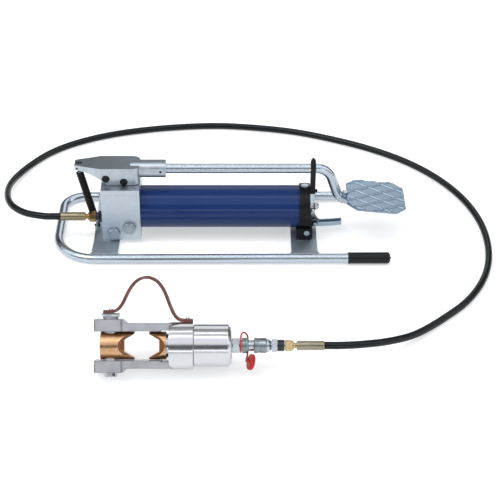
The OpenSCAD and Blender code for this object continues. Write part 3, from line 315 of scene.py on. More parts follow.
    @classmethod
    def join(cls, name: str, pieces: list[Mesh]) -> Mesh:
        """Joins several pieces into one object.

        Args:
            name: Name of the joined object.
            pieces: The objects to join, the first of which is kept.

        Returns:
            The joined object.
        """
        cls.pick(pieces[0])
        for piece in pieces[1:]:
            piece.select_set(True)
        bpy.ops.object.join()
        pieces[0].name = name
        return pieces[0]

    @classmethod
    def ease(cls, piece: Mesh, width: float, segments: int = 2, angle: float = 32.0) -> Mesh:
        """Rounds a piece's edges and shades it smooth.

        Args:
            piece: The object to finish.
            width: Width of the rounding, in millimetres.
            segments: Steps over the rounding.
            angle: Edges sharper than this many degrees are rounded.

        Returns:
            The same object.
        """
        cls.pick(piece)
        if width > 0:
            cls.modify(piece, "BEVEL", width=width * MM, segments=segments, limit_method="ANGLE",
                       angle_limit=radians(angle), use_clamp_overlap=True)
        bpy.ops.object.shade_smooth_by_angle(angle=radians(angle))
        if width > 0:
            cls.modify(piece, "WEIGHTED_NORMAL", keep_sharp=True)
        return piece

    @classmethod
    def refined(cls, node: str, width: float, body: Body, finish: "Finish", segments: int = 2) -> Mesh:
        """Copies a CAD node, joins its loose triangles, rounds its edges and hands the copy over.

        Args:
            node: Name of the CAD node.
            width: Width of the rounding, in millimetres.
            body: The body that the node belongs to.
            finish: Its finish.
            segments: Steps over the rounding.

        Returns:
            The new object, which replaces the node.
        """
        source = frame["nodes"][node]
        piece = source.copy()
        piece.data = source.data.copy()
        piece.name = node + "_finished"
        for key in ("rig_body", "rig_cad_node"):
            if key in piece:
                del piece[key]
        piece.parent = None
        piece.matrix_world = Matrix.Identity(4)
        bpy.context.scene.collection.objects.link(piece)
        with cls.editing(piece, outward=False):
            bpy.ops.mesh.customdata_custom_splitnormals_clear()
            bpy.ops.mesh.remove_doubles(threshold=5e-6)
            bpy.ops.mesh.dissolve_limited(angle_limit=radians(0.6))
        cls.fit(cls.ease(piece, width, segments), body, finish, node)
        return piece

    @classmethod
    def swept(cls, name: str, path: list[Vector], radius: float, sides: int, mesh: bool = True) -> Mesh:
        """Sweeps a round section along a path, closed at both ends.

        Args:
            name: Name of the new object.
            path: Points of the centreline, in metres.
            radius: Radius of the section, in millimetres.
            sides: Sides of the section, a multiple of four.
            mesh: False where the object stays a curve of one open spline.

        Returns:
            The swept object.
        """
        data = bpy.data.curves.new(name, "CURVE")
        data.dimensions = "3D"
        data.bevel_depth = radius * MM
        data.bevel_resolution = sides // 4 - 1
        data.use_fill_caps = True
        data.twist_mode = "MINIMUM"
        spline = data.splines.new("POLY")
        spline.points.add(len(path) - 1)
        for point, place in zip(spline.points, path):
            point.co = (*place, 1.0)
        wire = bpy.data.objects.new(name, data)
        bpy.context.scene.collection.objects.link(wire)
        cls.pick(wire)
        if mesh:
            bpy.ops.object.convert(target="MESH")
            bpy.ops.object.shade_smooth_by_angle(angle=radians(50))
        return bpy.context.object

    @staticmethod
    def smooth(points: list[Vector], steps: int) -> list[Vector]:
        """Runs a smooth curve through all but the first and last points.

        Args:
            points: Points of the route, with one lead point at each end.
            steps: New points in each span.

        Returns:
            Points along the curve.
        """
        run = []
        for p0, p1, p2, p3 in zip(points, points[1:], points[2:], points[3:]):
            for k in range(steps):
                t = k / steps
                run.append(0.5 * (2 * p1 + (p2 - p0) * t + (2 * p0 - 5 * p1 + 4 * p2 - p3) * t * t
                                  + (3 * p1 - p0 - 3 * p2 + p3) * t ** 3))
        run.append(points[-2].copy())
        return run

    @staticmethod
    def fit(piece: Mesh, body: Body | None, finish: "Finish", *nodes: str) -> None:
        """Hands a finished piece over to the frame.

        Args:
            piece: The finished object.
            body: The body that it rides on, or None for one that bends between two.
            finish: Its finish, with the record's material slot.
            *nodes: CAD nodes that it stands for.
        """
        piece.data.materials.clear()
        piece.data.materials.append(finish.material())
        if body:
            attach(piece, body.value)
        if nodes:
            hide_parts(*nodes)
        log.info("%s rides on %s, in %s", piece.name, body.value if body else "two bodies", finish.slot)

    @classmethod
    def settle(cls, piece: Mesh, where: Matrix, body: Body, finish: "Finish", *nodes: str) -> None:
        """Puts a closed piece in place with its faces outwards and hands it over.

        Args:
            piece: The finished object, modelled about the origin.
            where: Its place in the row frame.
            body: The body that it rides on.
            finish: Its finish.
            *nodes: CAD nodes that it stands for.
        """
        cls.place(piece, where)
        with cls.editing(piece, outward=False):
            bpy.ops.mesh.normals_make_consistent(inside=False)
        cls.fit(piece, body, finish, *nodes)


class Wiring:
    """Adds and links the nodes of one shader tree."""

    def __init__(self, tree: bpy.types.NodeTree) -> None:
        """Takes the tree that it works on."""
        self.tree = tree

    def add(self, kind: str, inputs: dict, **settings: object) -> Node:
        """Adds a node.

        Args:
            kind: Its type, without the word that all shader nodes start with.
            inputs: Values or output sockets for its inputs, by name or number.
            **settings: The node's own settings.

        Returns:
            The node.
        """
        node = self.tree.nodes.new("ShaderNode" + kind)
        for key, value in settings.items():
            setattr(node, key, value)
        self.feed(node, inputs)
        return node

    def feed(self, node: Node, inputs: dict) -> None:
        """Sets or links a node's inputs.

        Args:
            node: The node.
            inputs: Values or output sockets, by the input's name or number.
        """
        for key, value in inputs.items():
            if isinstance(value, Socket):
                self.tree.links.new(value, node.inputs[key])
            else:
                node.inputs[key].default_value = value

    def math(self, operation: str, first: Socket, second: Socket | float) -> Socket:
        """Adds a calculation with two numbers and returns its output."""
        return self.add("Math", {0: first, 1: second}, operation=operation).outputs[0]

    def noise(self, scale: Socket | float, detail: float, **inputs: object) -> Socket:
        """Adds a noise texture in object coordinates, or in others, and returns its output.

        Args:
            scale: Scale of the noise.
            detail: Its detail.
            **inputs: More inputs by name, such as Vector.

        Returns:
            The noise's factor.
        """
        where = {} if "Vector" in inputs else {"Vector": self.where("Object")}
        return self.add("TexNoise", {"Scale": scale, "Detail": detail, **where, **inputs}).outputs["Fac"]

    def where(self, kind: str) -> Socket:
        """Adds the texture coordinates and returns those of one kind."""
        return self.add("TexCoord", {}).outputs[kind]

    def span(self, value: Socket, low: float, high: float, **ends: float) -> Socket:
        """Maps a range of values onto 0 to 1, or onto other ends.

        Args:
            value: The value's socket.
            low: Value that becomes the low end.
            high: Value that becomes the high end.
            **ends: The ends that aren't 0 and 1, as To_Min and To_Max.

        Returns:
            The mapped value.
        """
        others = {key.replace("_", " "): end for key, end in ends.items()}
        inputs = {"Value": value, "From Min": low, "From Max": high, **others}
        return self.add("MapRange", inputs).outputs["Result"]

    def tint(self, mask: Socket, low: Colour | Socket, high: Colour) -> Socket:
        """Mixes two colours by a mask.

        Args:
            mask: Output socket that drives the mix.
            low: Colour at zero, or an output socket.
            high: Colour at one.

        Returns:
            The mixed colour.
        """
        under = low if isinstance(low, Socket) else (*low, 1.0)
        mixed = {"Factor": mask, "A": under, "B": (*high, 1.0)}
        return self.add("Mix", mixed, data_type="RGBA").outputs["Result"]

    def bump(self, height: Socket, under: dict[str, Socket], strength: float) -> dict[str, Socket]:
        """Adds a bump to a normal.

        Args:
            height: Output socket with the height.
            under: The normal below it, or nothing for the surface's own.
            strength: Strength of the bump.

        Returns:
            The new normal, as an input of the next node.
        """
        inputs = {"Strength": strength, "Distance": 0.3 * MM, "Height": height, **under}
        return {"Normal": self.add("Bump", inputs).outputs["Normal"]}


class Effects:
    """Shader node groups that several finishes share, each built once."""

    @staticmethod
    def start(name: str, inputs: dict[str, float], outputs: tuple[str, ...]) -> tuple:
        """Begins a node group.

        Args:
            name: Name of the group.
            inputs: Named number inputs with their defaults.
            outputs: Names of its number outputs.

        Returns:
            The group's wiring, the sockets of its inputs and its output node.
        """
        tree = bpy.data.node_groups.new(name, "ShaderNodeTree")
        kind = "NodeSocketFloat"
        for key, value in inputs.items():
            tree.interface.new_socket(key, in_out="INPUT", socket_type=kind).default_value = value
        for key in outputs:
            tree.interface.new_socket(key, in_out="OUTPUT", socket_type=kind)
        return Wiring(tree), tree.nodes.new("NodeGroupInput").outputs, tree.nodes.new("NodeGroupOutput")

    @classmethod
    @cache
    def grain(cls) -> bpy.types.NodeTree:
        """Fine uneven surface: a height and a mask from two sizes of noise.

        Returns:
            The node group, with inputs Scale and Sharpness and outputs Height and Mask.
        """
        wires, given, out = cls.start("grain", {"Scale": 900.0, "Sharpness": 0.5}, ("Height", "Mask"))
        fine = wires.noise(given["Scale"], 3.0, Roughness=given["Sharpness"])
        coarse = wires.noise(wires.math("MULTIPLY", given["Scale"], 0.06), 4.0)
        wires.feed(out, {"Height": fine, "Mask": coarse})
        return wires.tree

    @classmethod
    @cache
    def drawn(cls) -> bpy.types.NodeTree:
        """Long fine lines of a drawn, turned or milled surface.

        Returns:
            The node group, with inputs X, Y, Z and Scale and output Lines.
        """
        wires, given, out = cls.start("drawn", {"X": 1.0, "Y": 1.0, "Z": 1.0, "Scale": 1500.0}, ("Lines",))
        scale = wires.add("CombineXYZ", {axis: given[axis] for axis in "XYZ"}).outputs[0]
        stretch = wires.add("Mapping", {"Vector": wires.where("Object"), "Scale": scale}).outputs[0]
        wires.feed(out, {"Lines": wires.noise(given["Scale"], 2.0, Vector=stretch)})
        return wires.tree

    @classmethod
    @cache
    def edges(cls) -> bpy.types.NodeTree:
        """Edges: a mask that is high where the surface turns sharply, broken up by noise, for worn edges and
        for painted highlights and painted shade lines along edges.

        Returns:
            The node group, with inputs Width and Break and output Mask.
        """
        wires, given, out = cls.start("edges", {"Width": 0.0008, "Break": 300.0}, ("Mask",))
        bevel = wires.add("Bevel", {"Radius": given["Width"]}, samples=4).outputs["Normal"]
        flat = wires.add("NewGeometry", {}).outputs["True Normal"]
        dot = wires.add("VectorMath", {0: bevel, 1: flat}, operation="DOT_PRODUCT").outputs["Value"]
        sharp = wires.span(dot, 0.995, 0.86, To_Max=1.8)
        wires.feed(out, {"Mask": wires.math("MULTIPLY", sharp, wires.noise(given["Break"], 4.0))})
        return wires.tree


@dataclass(frozen=True)
class Finish:
    """What every finish has: a name, a record slot, a colour and how rough and even it is."""

    name: str
    slot: str
    colour: Colour
    roughness: float
    spread: float = 0.1
    metal: float = 0.0
    shade: float = 0.85
    # edge colour: wear on most finishes, a painted highlight on some and a painted shade line on others
    edge_wear_and_light: Colour | None = None
    grain: float = 900.0
    bump: float = 0.15
    lines: Along = Along.NONE
    line_depth: float = 0.0
    edge: float = 0.6
    specular: float = 0.5

    def material(self) -> bpy.types.Material:
        """Builds the finish's material once and hands it out after that."""
        return bpy.data.materials.get(self.name) or self.build()

    def build(self) -> bpy.types.Material:
        """Makes the material's nodes: colour cloud, edge colour for wear and for painted edge highlights and
        shade, drawn lines, grain and roughness.

        Returns:
            The new material.
        """
        material = bpy.data.materials.new(self.name)
        material.use_nodes = True
        wires = Wiring(material.node_tree)
        uneven = {"Scale": self.grain, "Sharpness": 0.55}
        grain = wires.add("Group", uneven, node_tree=Effects.grain()).outputs
        dim = tuple(c * self.shade for c in self.colour)
        colour = wires.tint(wires.span(grain["Mask"], 0.35, 0.65), dim, self.colour)
        # edge colour: wear on most finishes, a painted highlight on some and a painted shade line on others
        if self.edge > 0 and self.edge_wear_and_light:
            rim = {"Width": self.edge * MM, "Break": 260.0}
            mask = wires.add("Group", rim, node_tree=Effects.edges()).outputs["Mask"]
            colour = wires.tint(mask, colour, self.edge_wear_and_light)
        smoothest = max(0.03, self.roughness - self.spread / 2)
        rough = wires.span(grain["Mask"], 0.3, 0.7, To_Min=smoothest, To_Max=self.roughness + self.spread / 2)
        normal = {}
        if self.line_depth > 0:
            stretch = {**dict(zip("XYZ", self.lines.value)), "Scale": 1400.0}
            lines = wires.add("Group", stretch, node_tree=Effects.drawn()).outputs["Lines"]
            normal = wires.bump(lines, normal, self.line_depth)
        if self.bump > 0:
            normal = wires.bump(grain["Height"], normal, self.bump)
        wires.feed(material.node_tree.nodes["Principled BSDF"], {
            "Metallic": self.metal, "Specular IOR Level": self.specular, "Base Color": colour,
            "Roughness": rough, **normal})
        return material


@dataclass(frozen=True)
class CastShadedTop(Finish):
    """A machined casting whose upward faces are painted darker, as painted shade on its top."""

    # painted shade: the darker colour that upward faces get
    top_shade: Colour = (0.2, 0.235, 0.26)

    def build(self) -> bpy.types.Material:
        """Adds painted shade to the plain finish: a darker colour on upward faces.

        Returns:
            The new material.
        """
        material = super().build()
        wires = Wiring(material.node_tree)
        shader = material.node_tree.nodes["Principled BSDF"]
        below = shader.inputs["Base Color"].links[0].from_socket
        # painted shade: faces whose normal points up are blended towards the darker colour
        facing = wires.add("SeparateXYZ", {0: wires.where("Normal")}).outputs["Z"]
        colour = wires.tint(wires.span(facing, 0.8, 0.97), below, self.top_shade)
        wires.feed(shader, {"Base Color": colour})
        return material


ZINC = Finish("zinc plated tube", "zinc_tube", (0.45, 0.51, 0.57), 0.21, 0.02, 1.0, bump=0,
              shade=0.96, grain=400.0, edge=0)
# painted highlight: light lines along edges and ridges
SHEET = Finish("zinc plated sheet", "zinc_sheet", (0.34, 0.43, 0.52), 0.4, 0.1, 1.0, grain=500.0,
               bump=0.04, shade=0.9, edge_wear_and_light=(0.7, 0.78, 0.84), edge=1.1)
# painted shade: dark lines along the ribs' edges and at their feet
TREAD = Finish("pressed zinc plated sheet", "zinc_sheet", (0.31, 0.4, 0.5), 0.36, 0.08, 1.0, grain=500.0,
               bump=0.03, shade=0.92, edge_wear_and_light=(0.01, 0.02, 0.03), edge=2.2)
BRACKET = Finish("dull zinc plated sheet", "zinc_sheet", (0.5, 0.58, 0.64), 0.52, 0.12, 1.0, grain=420.0,
                 bump=0.06, shade=0.84, edge_wear_and_light=(0.66, 0.72, 0.77))
WELD = Finish("weld bead", "zinc_sheet", (0.26, 0.29, 0.32), 0.42, 0.16, 1.0, grain=900.0, bump=0.2,
              shade=0.7, edge_wear_and_light=(0.66, 0.7, 0.73))
BLOCK = Finish("machined aluminium", "machined_aluminium", (0.5, 0.555, 0.61), 0.4, 0.08, 1.0,
               lines=Along.X, line_depth=0.34, bump=0.02, shade=0.92, edge_wear_and_light=(0.74, 0.78, 0.82))
# painted highlight: light colour on the rounded edges; upward faces get painted shade
CAST = CastShadedTop("cast aluminium", "cast_aluminium", (0.47, 0.52, 0.57), 0.38, 0.1, 1.0, grain=1100.0,
                bump=0.09, edge_wear_and_light=(0.82, 0.86, 0.9), edge=1.0)
STEEL = Finish("bright steel", "bright_steel", (0.47, 0.51, 0.55), 0.22, 0.06, 1.0, bump=0.01,
               edge_wear_and_light=(0.8, 0.83, 0.86), edge=0.35)
# painted shadow: dark lines along the plugs' edges
PLUG_STEEL = Finish("dull zinc plated plug", "bright_steel", (0.44, 0.49, 0.54), 0.42, 0.1, 1.0, bump=0.03,
                    edge_wear_and_light=(0.03, 0.04, 0.05), edge=1.3)
HEAD_STEEL = Finish("polished nickel plate", "head_steel", (0.57, 0.58, 0.6), 0.19, 0.02, 1.0,
                    bump=0, shade=0.98, edge_wear_and_light=(0.82, 0.82, 0.82), edge=0.4)
# painted shade: dark lines along the arms' edges, standing in for edges that mirror dark surroundings
ARM_STEEL = Finish("brushed nickel plate", "head_steel", (0.6, 0.615, 0.64), 0.42, 0.08, 1.0,
                   lines=Along.X, line_depth=0.06, bump=0.01, shade=0.94, edge_wear_and_light=(0.02, 0.03, 0.04), edge=2.4)
GREY_STEEL = Finish("grey phosphate steel", "head_steel", (0.24, 0.29, 0.3), 0.3, 0.08, 1.0, bump=0.02,
                    edge_wear_and_light=(0.6, 0.63, 0.64), edge=0.45)
SPRING_STEEL = Finish("oiled spring steel", "dark_steel", (0.016, 0.014, 0.012), 0.3, 0.06, 0.5, bump=0,
                      edge=0, specular=0.3)
DARK_STEEL = Finish("blackened steel", "dark_steel", (0.05, 0.055, 0.06), 0.32, 0.1, 0.9, bump=0.04,
                    edge_wear_and_light=(0.2, 0.21, 0.22), edge=0.3)
BLACK = Finish("satin black enamel", "black_metal", (0.006, 0.007, 0.008), 0.32, 0.1, bump=0.05,
               edge_wear_and_light=(0.03, 0.034, 0.036), edge=0.7, specular=0.18)
BLUE = Finish("gloss blue enamel", "blue_paint", (0.011, 0.035, 0.14), 0.1, 0.02, grain=350.0,
              bump=0, shade=0.94, edge=0, specular=0.21)
RUBBER = Finish("moulded rubber", "black_rubber", (0.008, 0.009, 0.011), 0.36, 0.1, grain=1600.0,
                bump=0.06, edge_wear_and_light=(0.03, 0.034, 0.034), edge=0.8, specular=0.22)
HOSE = Finish("smooth hose cover", "hose_rubber", (0.005, 0.008, 0.009), 0.24, 0.04, grain=700.0,
              bump=0.02, edge=0, specular=0.24)
YELLOW_ZINC = Finish("yellow zinc plate", "yellow_zinc", (0.31, 0.285, 0.21), 0.3, 0.04, 1.0,
                     bump=0, edge=0.3, edge_wear_and_light=(0.55, 0.51, 0.38))
OLD_ZINC = Finish("warm yellow zinc plate", "yellow_zinc", (0.31, 0.255, 0.165), 0.3, 0.08, 1.0,
                  bump=0.02, shade=0.8, edge=0.3, edge_wear_and_light=(0.6, 0.52, 0.36))
BRASS = Finish("turned brass", "brass", (0.5, 0.38, 0.2), 0.26, 0.08, 1.0, bump=0.012, edge=0.35,
               edge_wear_and_light=(0.85, 0.74, 0.5))
OLD_BRASS = Finish("dull brass", "brass", (0.36, 0.22, 0.09), 0.28, 0.1, 1.0, bump=0.02, edge=0.35,
                   edge_wear_and_light=(0.55, 0.38, 0.18))
BRONZE = Finish("die bronze", "die_bronze", (0.58, 0.345, 0.19), 0.3, 0.08, 1.0, bump=0.012, edge=0.5,
                shade=0.9, edge_wear_and_light=(0.8, 0.6, 0.36))
LEATHER = Finish("red brown leather", "red_brown_leather", (0.21, 0.078, 0.066), 0.5, 0.14, grain=1300.0,
                 bump=0.4, shade=0.6, edge_wear_and_light=(0.36, 0.18, 0.15), edge=0.7, specular=0.35)
RED = Finish("red plastic", "red_plastic", (0.47, 0.01, 0.012), 0.34, 0.08, bump=0.03,
             edge_wear_and_light=(0.7, 0.08, 0.06), edge=0.5, specular=0.2)
TETHER = Finish("orange red cord", "red_plastic", (0.6, 0.055, 0.035), 0.4, 0.08, bump=0.03,
                edge=0, specular=0.25)
SEAL = Finish("seal rubber", "seal_rubber", (0.02, 0.02, 0.02), 0.6, bump=0.2, edge=0.2)


@dataclass
class Studio:
    """Camera, lamps, world and floor."""

    camera_place: Place = (45.0, -2696.3, 1973.1)
    camera_tilt: float = 35.0
    picture: float = 500.0
    focal: float = 1600.0
    sensor: float = 36.0
    floor_size: float = 14.0
    floor_depth: float = 0.0002
    floor_tone: float = 0.74
    floor_glow: float = 0.45
    lamp_aim: Place = (0.0, 0.2, 0.0)
    sky: float = 0.8
    panels: tuple[Point, ...] = (
        (8, 0.8), (9, 4.0), (13, 4.0), (15, 0.14), (39, 0.14), (45, 1.6), (80.5, 1.5), (81.5, 5.5),
        (84.5, 5.5), (85.5, 1.4), (100, 0.8), (106, 0.8), (107, 6.0), (110, 6.0), (111, 0.7), (126, 0.6),
        (134, 0.2), (170, 0.2))

    def build(self) -> None:
        """Makes the studio."""
        self.camera()
        self.floor()
        self.lamps()
        self.world()
        bpy.context.scene.view_settings.view_transform = "Standard"
        log.info("studio ready")

    def camera(self) -> None:
        """Puts the camera at the photograph's place and angle."""
        Shop.clear()
        bpy.ops.object.camera_add(location=spot(*self.camera_place),
                                  rotation=(radians(90 - self.camera_tilt), 0, 0))
        camera = bpy.context.object
        camera.name = "camera"
        camera.data.sensor_width = self.sensor
        camera.data.lens = self.sensor * self.focal / self.picture
        camera.data.clip_end = 50
        bpy.context.scene.camera = camera

    def floor(self) -> None:
        """Lays a wide pale floor that keeps the shadows and glows towards the camera and in mirrors."""
        bpy.ops.mesh.primitive_plane_add(size=self.floor_size, location=(0, 0, -self.floor_depth))
        floor = bpy.context.object
        floor.name = "floor"
        material = bpy.data.materials.new("pale floor")
        material.use_nodes = True
        wires = Wiring(material.node_tree)
        path = wires.add("LightPath", {}).outputs
        seen = path["Is Camera Ray"]
        for ray in ("Is Glossy Ray", "Is Transmission Ray"):
            seen = wires.math("ADD", seen, path[ray])
        wires.feed(material.node_tree.nodes["Principled BSDF"], {
            "Base Color": (self.floor_tone, self.floor_tone, self.floor_tone, 1), "Roughness": 0.9,
            "Specular IOR Level": 0.1, "Emission Color": (1, 1, 1, 1),
            "Emission Strength": wires.math("MULTIPLY", seen, self.floor_glow)})
        floor.data.materials.append(material)

    def lamps(self) -> None:
        """Hangs soft lamps round the object."""
        for name, place, size, power in (
                ("key", (-1.3, -0.5, 2.6), 1.2, 16.0), ("fill", (1.4, -2.6, 1.2), 1.2, 6.0),
                ("back", (0.3, 2.4, 1.5), 1.6, 9.0)):
            bpy.ops.object.light_add(type="AREA", location=place)
            lamp = bpy.context.object
            lamp.name = name
            lamp.data.shape = "RECTANGLE"
            lamp.data.size = lamp.data.size_y = size
            lamp.data.energy = power
            aim = Vector(self.lamp_aim) - Vector(place)
            lamp.rotation_euler = aim.to_track_quat("-Z", "Y").to_euler()

    def world(self) -> None:
        """Surrounds the object with pale panels, dark gaps and bright strips.

        Their angles run from the horizon in front, over the top, to the horizon behind.
        """
        world = bpy.data.worlds.new("room")
        bpy.context.scene.world = world
        world.use_nodes = True
        wires = Wiring(world.node_tree)
        part = wires.add("SeparateXYZ", {0: wires.where("Generated")}).outputs
        forward = wires.math("MULTIPLY", part["Y"], -1.0)
        share = wires.math("DIVIDE", wires.math("ARCTAN2", part["Z"], forward), pi)
        ramp = wires.add("ValToRGB", {"Fac": share})
        stops = ramp.color_ramp.elements
        stops[0].position, stops[0].color = 0.0, (0.7, 0.71, 0.73, 1)
        stops[1].position, stops[1].color = 1.0, (0.6, 0.62, 0.65, 1)
        for angle, level in self.panels:
            stops.new(angle / 180).color = (level * 0.98, level, level * 1.03, 1)
        background = world.node_tree.nodes["Background"]
        wires.feed(background, {"Color": ramp.outputs["Color"], "Strength": self.sky})


@dataclass
class Hose:
    """The high pressure hose with its ferrules, nuts and the pump's outlet adapter, sizes in mm."""

    diameter: float = 15.0
    bore: float = 3.2
    ferrule: float = 18.5
    ferrule_length: float = 53.0
    nut_across: float = 21.0
    nut_length: float = 17.0
    neck_length: float = 5.5
    neck_radius: float = 5.5
    adapter_length: float = 15.0
    adapter_across: float = 22.0
    start_route: tuple[Place, ...] = (
        (-412, 175.5, 53.5), (-441, 189, 51), (-466, 213, 47.5), (-484, 247, 41.5), (-494, 290, 33),
        (-497, 335, 24), (-492, 378, 16), (-480, 415, 11.5))
    floor_route: tuple[Point, ...] = (
        (-460, 458), (-420, 510), (-365, 553), (-290, 589), (-210, 612), (-120, 627), (-30, 632),
        (60, 623), (150, 604), (240, 570), (330, 524), (410, 466), (475, 394), (522, 312), (549, 225),
        (557, 140), (549, 60), (525, -12), (485, -78), (430, -136))
    end_route: tuple[Place, ...] = ((372, -192, 15), (316, -234, 31), (262, -264, 47))

    def route(self) -> list[Vector]:
        """Joins the route's points from one ferrule to the other.

        Returns:
            Points close together along the centreline, in metres.
        """
        radius = self.diameter / 2
        pump, head = centre("pump_ferrule") / MM, centre("head_ferrule") / MM
        start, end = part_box("pump_ferrule")[0].x / MM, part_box("head_ferrule")[1].x / MM
        points = [(start + d, pump.y, pump.z) for d in (15, 0, -15, -30)]
        points += [*self.start_route, *((x, y, radius) for x, y in self.floor_route), *self.end_route]
        points += [(end + d, head.y, head.z) for d in (30, 15, 0, -15)]
        run = Shop.smooth([spot(*p) for p in points], 12)
        return [Vector((p.x, p.y, max(p.z, radius * MM))) for p in run]

    def build(self) -> None:
        """Makes the hose and what is on it."""
        path = self.route()
        hose = Shop.swept("hose_line", path, self.diameter / 2, 24, mesh=False)
        Shop.fit(hose, Body.ROOT, HOSE, "hose")
        outlet = self.outlet()
        pieces = []
        for side, where, nut_start, brass, zinc in (
                ("pump", outlet, self.adapter_length, OLD_BRASS, OLD_ZINC),
                ("head", HEAD, along_head("head_hose_nut"), BRASS, YELLOW_ZINC)):
            nut = self.nut(side + "_nut_turned")
            Shop.settle(nut, where @ shift(nut_start), Body.ROOT, brass, side + "_hose_nut")
            ferrule = self.crimped(side + "_ferrule_crimped")
            ahead = nut_start + self.nut_length + self.neck_length
            Shop.settle(ferrule, where @ shift(ahead), Body.ROOT, zinc, side + "_ferrule")
            pieces += [nut, ferrule]
        self.adapter(outlet)

    @staticmethod
    def outlet() -> Matrix:
        """Place of the pump's outlet, its own X pointing towards the hose."""
        middle = centre("pump_hose_nut")
        return Matrix.Translation((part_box("pump_block")[0].x, middle.y, middle.z)) @ turn(180, "Z")

    def nut(self, name: str) -> Mesh:
        """Makes a brass union nut with its stepped neck.

        Args:
            name: Name of the piece.

        Returns:
            The nut along X from the origin.
        """
        end, low = self.nut_length, self.neck_radius
        nut = Shop.hexagon(name, self.nut_across, 0, end - 3, 1.6)
        collar = Shop.turned(name + "_collar", [
            (1, self.bore), (1, 8.8), (end - 3.4, 8.8), (end - 1.2, 8.6), (end, 7.6), (end, low),
            (end + 1.5, low), (end + 2.0, low - 0.5), (end + 3.0, low - 0.5), (end + 3.5, low),
            (end + self.neck_length, low), (end + self.neck_length, self.bore)], 40, closed=True)
        return Shop.ease(Shop.join(name, [nut, collar]), 0.25)

    def crimped(self, name: str) -> Mesh:
        """Makes a smooth ferrule with a fine ring at each end of its swage.

        Args:
            name: Name of the piece.

        Returns:
            The ferrule along X from the origin.
        """
        r, end = self.ferrule / 2, self.ferrule_length
        profile = [(0, 5.6), (0, r - 1.2), (0.5, r - 0.5), (1.4, r), (end * 0.26, r)]
        for x in (end * 0.26, end - 4.6):
            profile += [(x + 0.3, r - 0.22), (x + 0.9, r - 0.22), (x + 1.2, r)]
        profile += [(end - 1.2, r), (end - 0.3, r - 0.4), (end, r - 0.9), (end, 7.6), (end - 1, 7.55),
                    (1, 7.5)]
        return Shop.ease(Shop.turned(name, profile, 48, closed=True), 0.15)

    def adapter(self, where: Matrix) -> None:
        """Makes the dark adapter that is screwed into the pump's outlet.

        Args:
            where: Place of the outlet.
        """
        adapter = Shop.hexagon("adapter_turned", self.adapter_across, 0.6, 9.4, 1.4)
        collar = Shop.turned("adapter_collar", [
            (-14, self.bore), (-14, 6.8), (0, 6.8), (0, 10.4), (1.2, 10.4), (1.2, 8.6), (9, 8.6),
            (9, 9.4), (10.6, 9.4), (11.0, 8.8), (14.2, 8.8), (15, 8.2), (15, self.bore)], 40, closed=True)
        adapter = Shop.ease(Shop.join("adapter_turned", [adapter, collar]), 0.25)
        Shop.settle(adapter, where, Body.ROOT, DARK_STEEL, "outlet_adapter")


@dataclass
class GroundFrame:
    """The bent tube frame: grips and the brackets' weld beads, sizes in mm and degrees."""

    grip: float = 25.0
    grip_length: float = 89.0
    bore: float = 10.1
    bead: float = 3.2
    bead_ripple: float = 3.8
    bead_inset: float = 2.5
    tilt: float = 0.23

    def build(self) -> None:
        """Makes the grips and the weld beads."""
        for node in ("grip_near", "grip_far"):
            self.make_grip(node)
        for bracket in ("front_bracket", "rear_bracket"):
            self.make_beads(bracket)

    def make_grip(self, node: str) -> None:
        """Makes one moulded grip with a lip and a round end.

        Args:
            node: The CAD node that it stands for.
        """
        r, end = self.grip / 2, self.grip_length
        profile = [(0, self.bore), (0, r - 0.5), (0.6, r), (3.4, r), (4.2, r - 0.5), (end - 7, r - 0.3)]
        profile += [(end - 6 + 6 * sin(radians(a)), r - 6.3 + 6 * cos(radians(a))) for a in range(15, 91, 15)]
        profile += [(end, 2.6), (end + 1.6, 2.2), (end + 2, 1.4), (end + 2, 0), (end - 8, 0),
                    (end - 8, self.bore)]
        grip = Shop.ease(Shop.turned(node + "_moulded", profile, 44, closed=True), 0.12)
        where = Matrix.Translation(start_of(node)) @ turn(-self.tilt, "Y")
        Shop.settle(grip, where, Body.ROOT, RUBBER, node)

    def make_beads(self, bracket: str) -> None:
        """Lays a rippled weld bead along each end of a bracket.

        Args:
            bracket: The CAD node of the bracket.
        """
        low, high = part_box(bracket)
        length = (high.x - low.x) / MM
        ripples = int(length / self.bead_ripple)
        step = (length - 2) / ripples
        profile = [(0.4, 0.0), (0.6, self.bead * 0.7)]
        for k in range(ripples):
            for part, height in ((0.15, 0.93), (0.5, 1.0), (0.85, 0.93)):
                profile.append((1 + (k + part) * step, self.bead * height))
        profile += [(length - 0.6, self.bead * 0.7), (length - 0.4, 0.0)]
        inset = self.bead_inset * MM
        for side, y in (("near", low.y + inset), ("far", high.y - inset)):
            bead = Shop.ease(Shop.turned(f"{bracket}_bead_{side}", profile, 14), 0)
            Shop.settle(bead, Matrix.Translation((low.x, y, high.z - inset)), Body.ROOT, WELD)


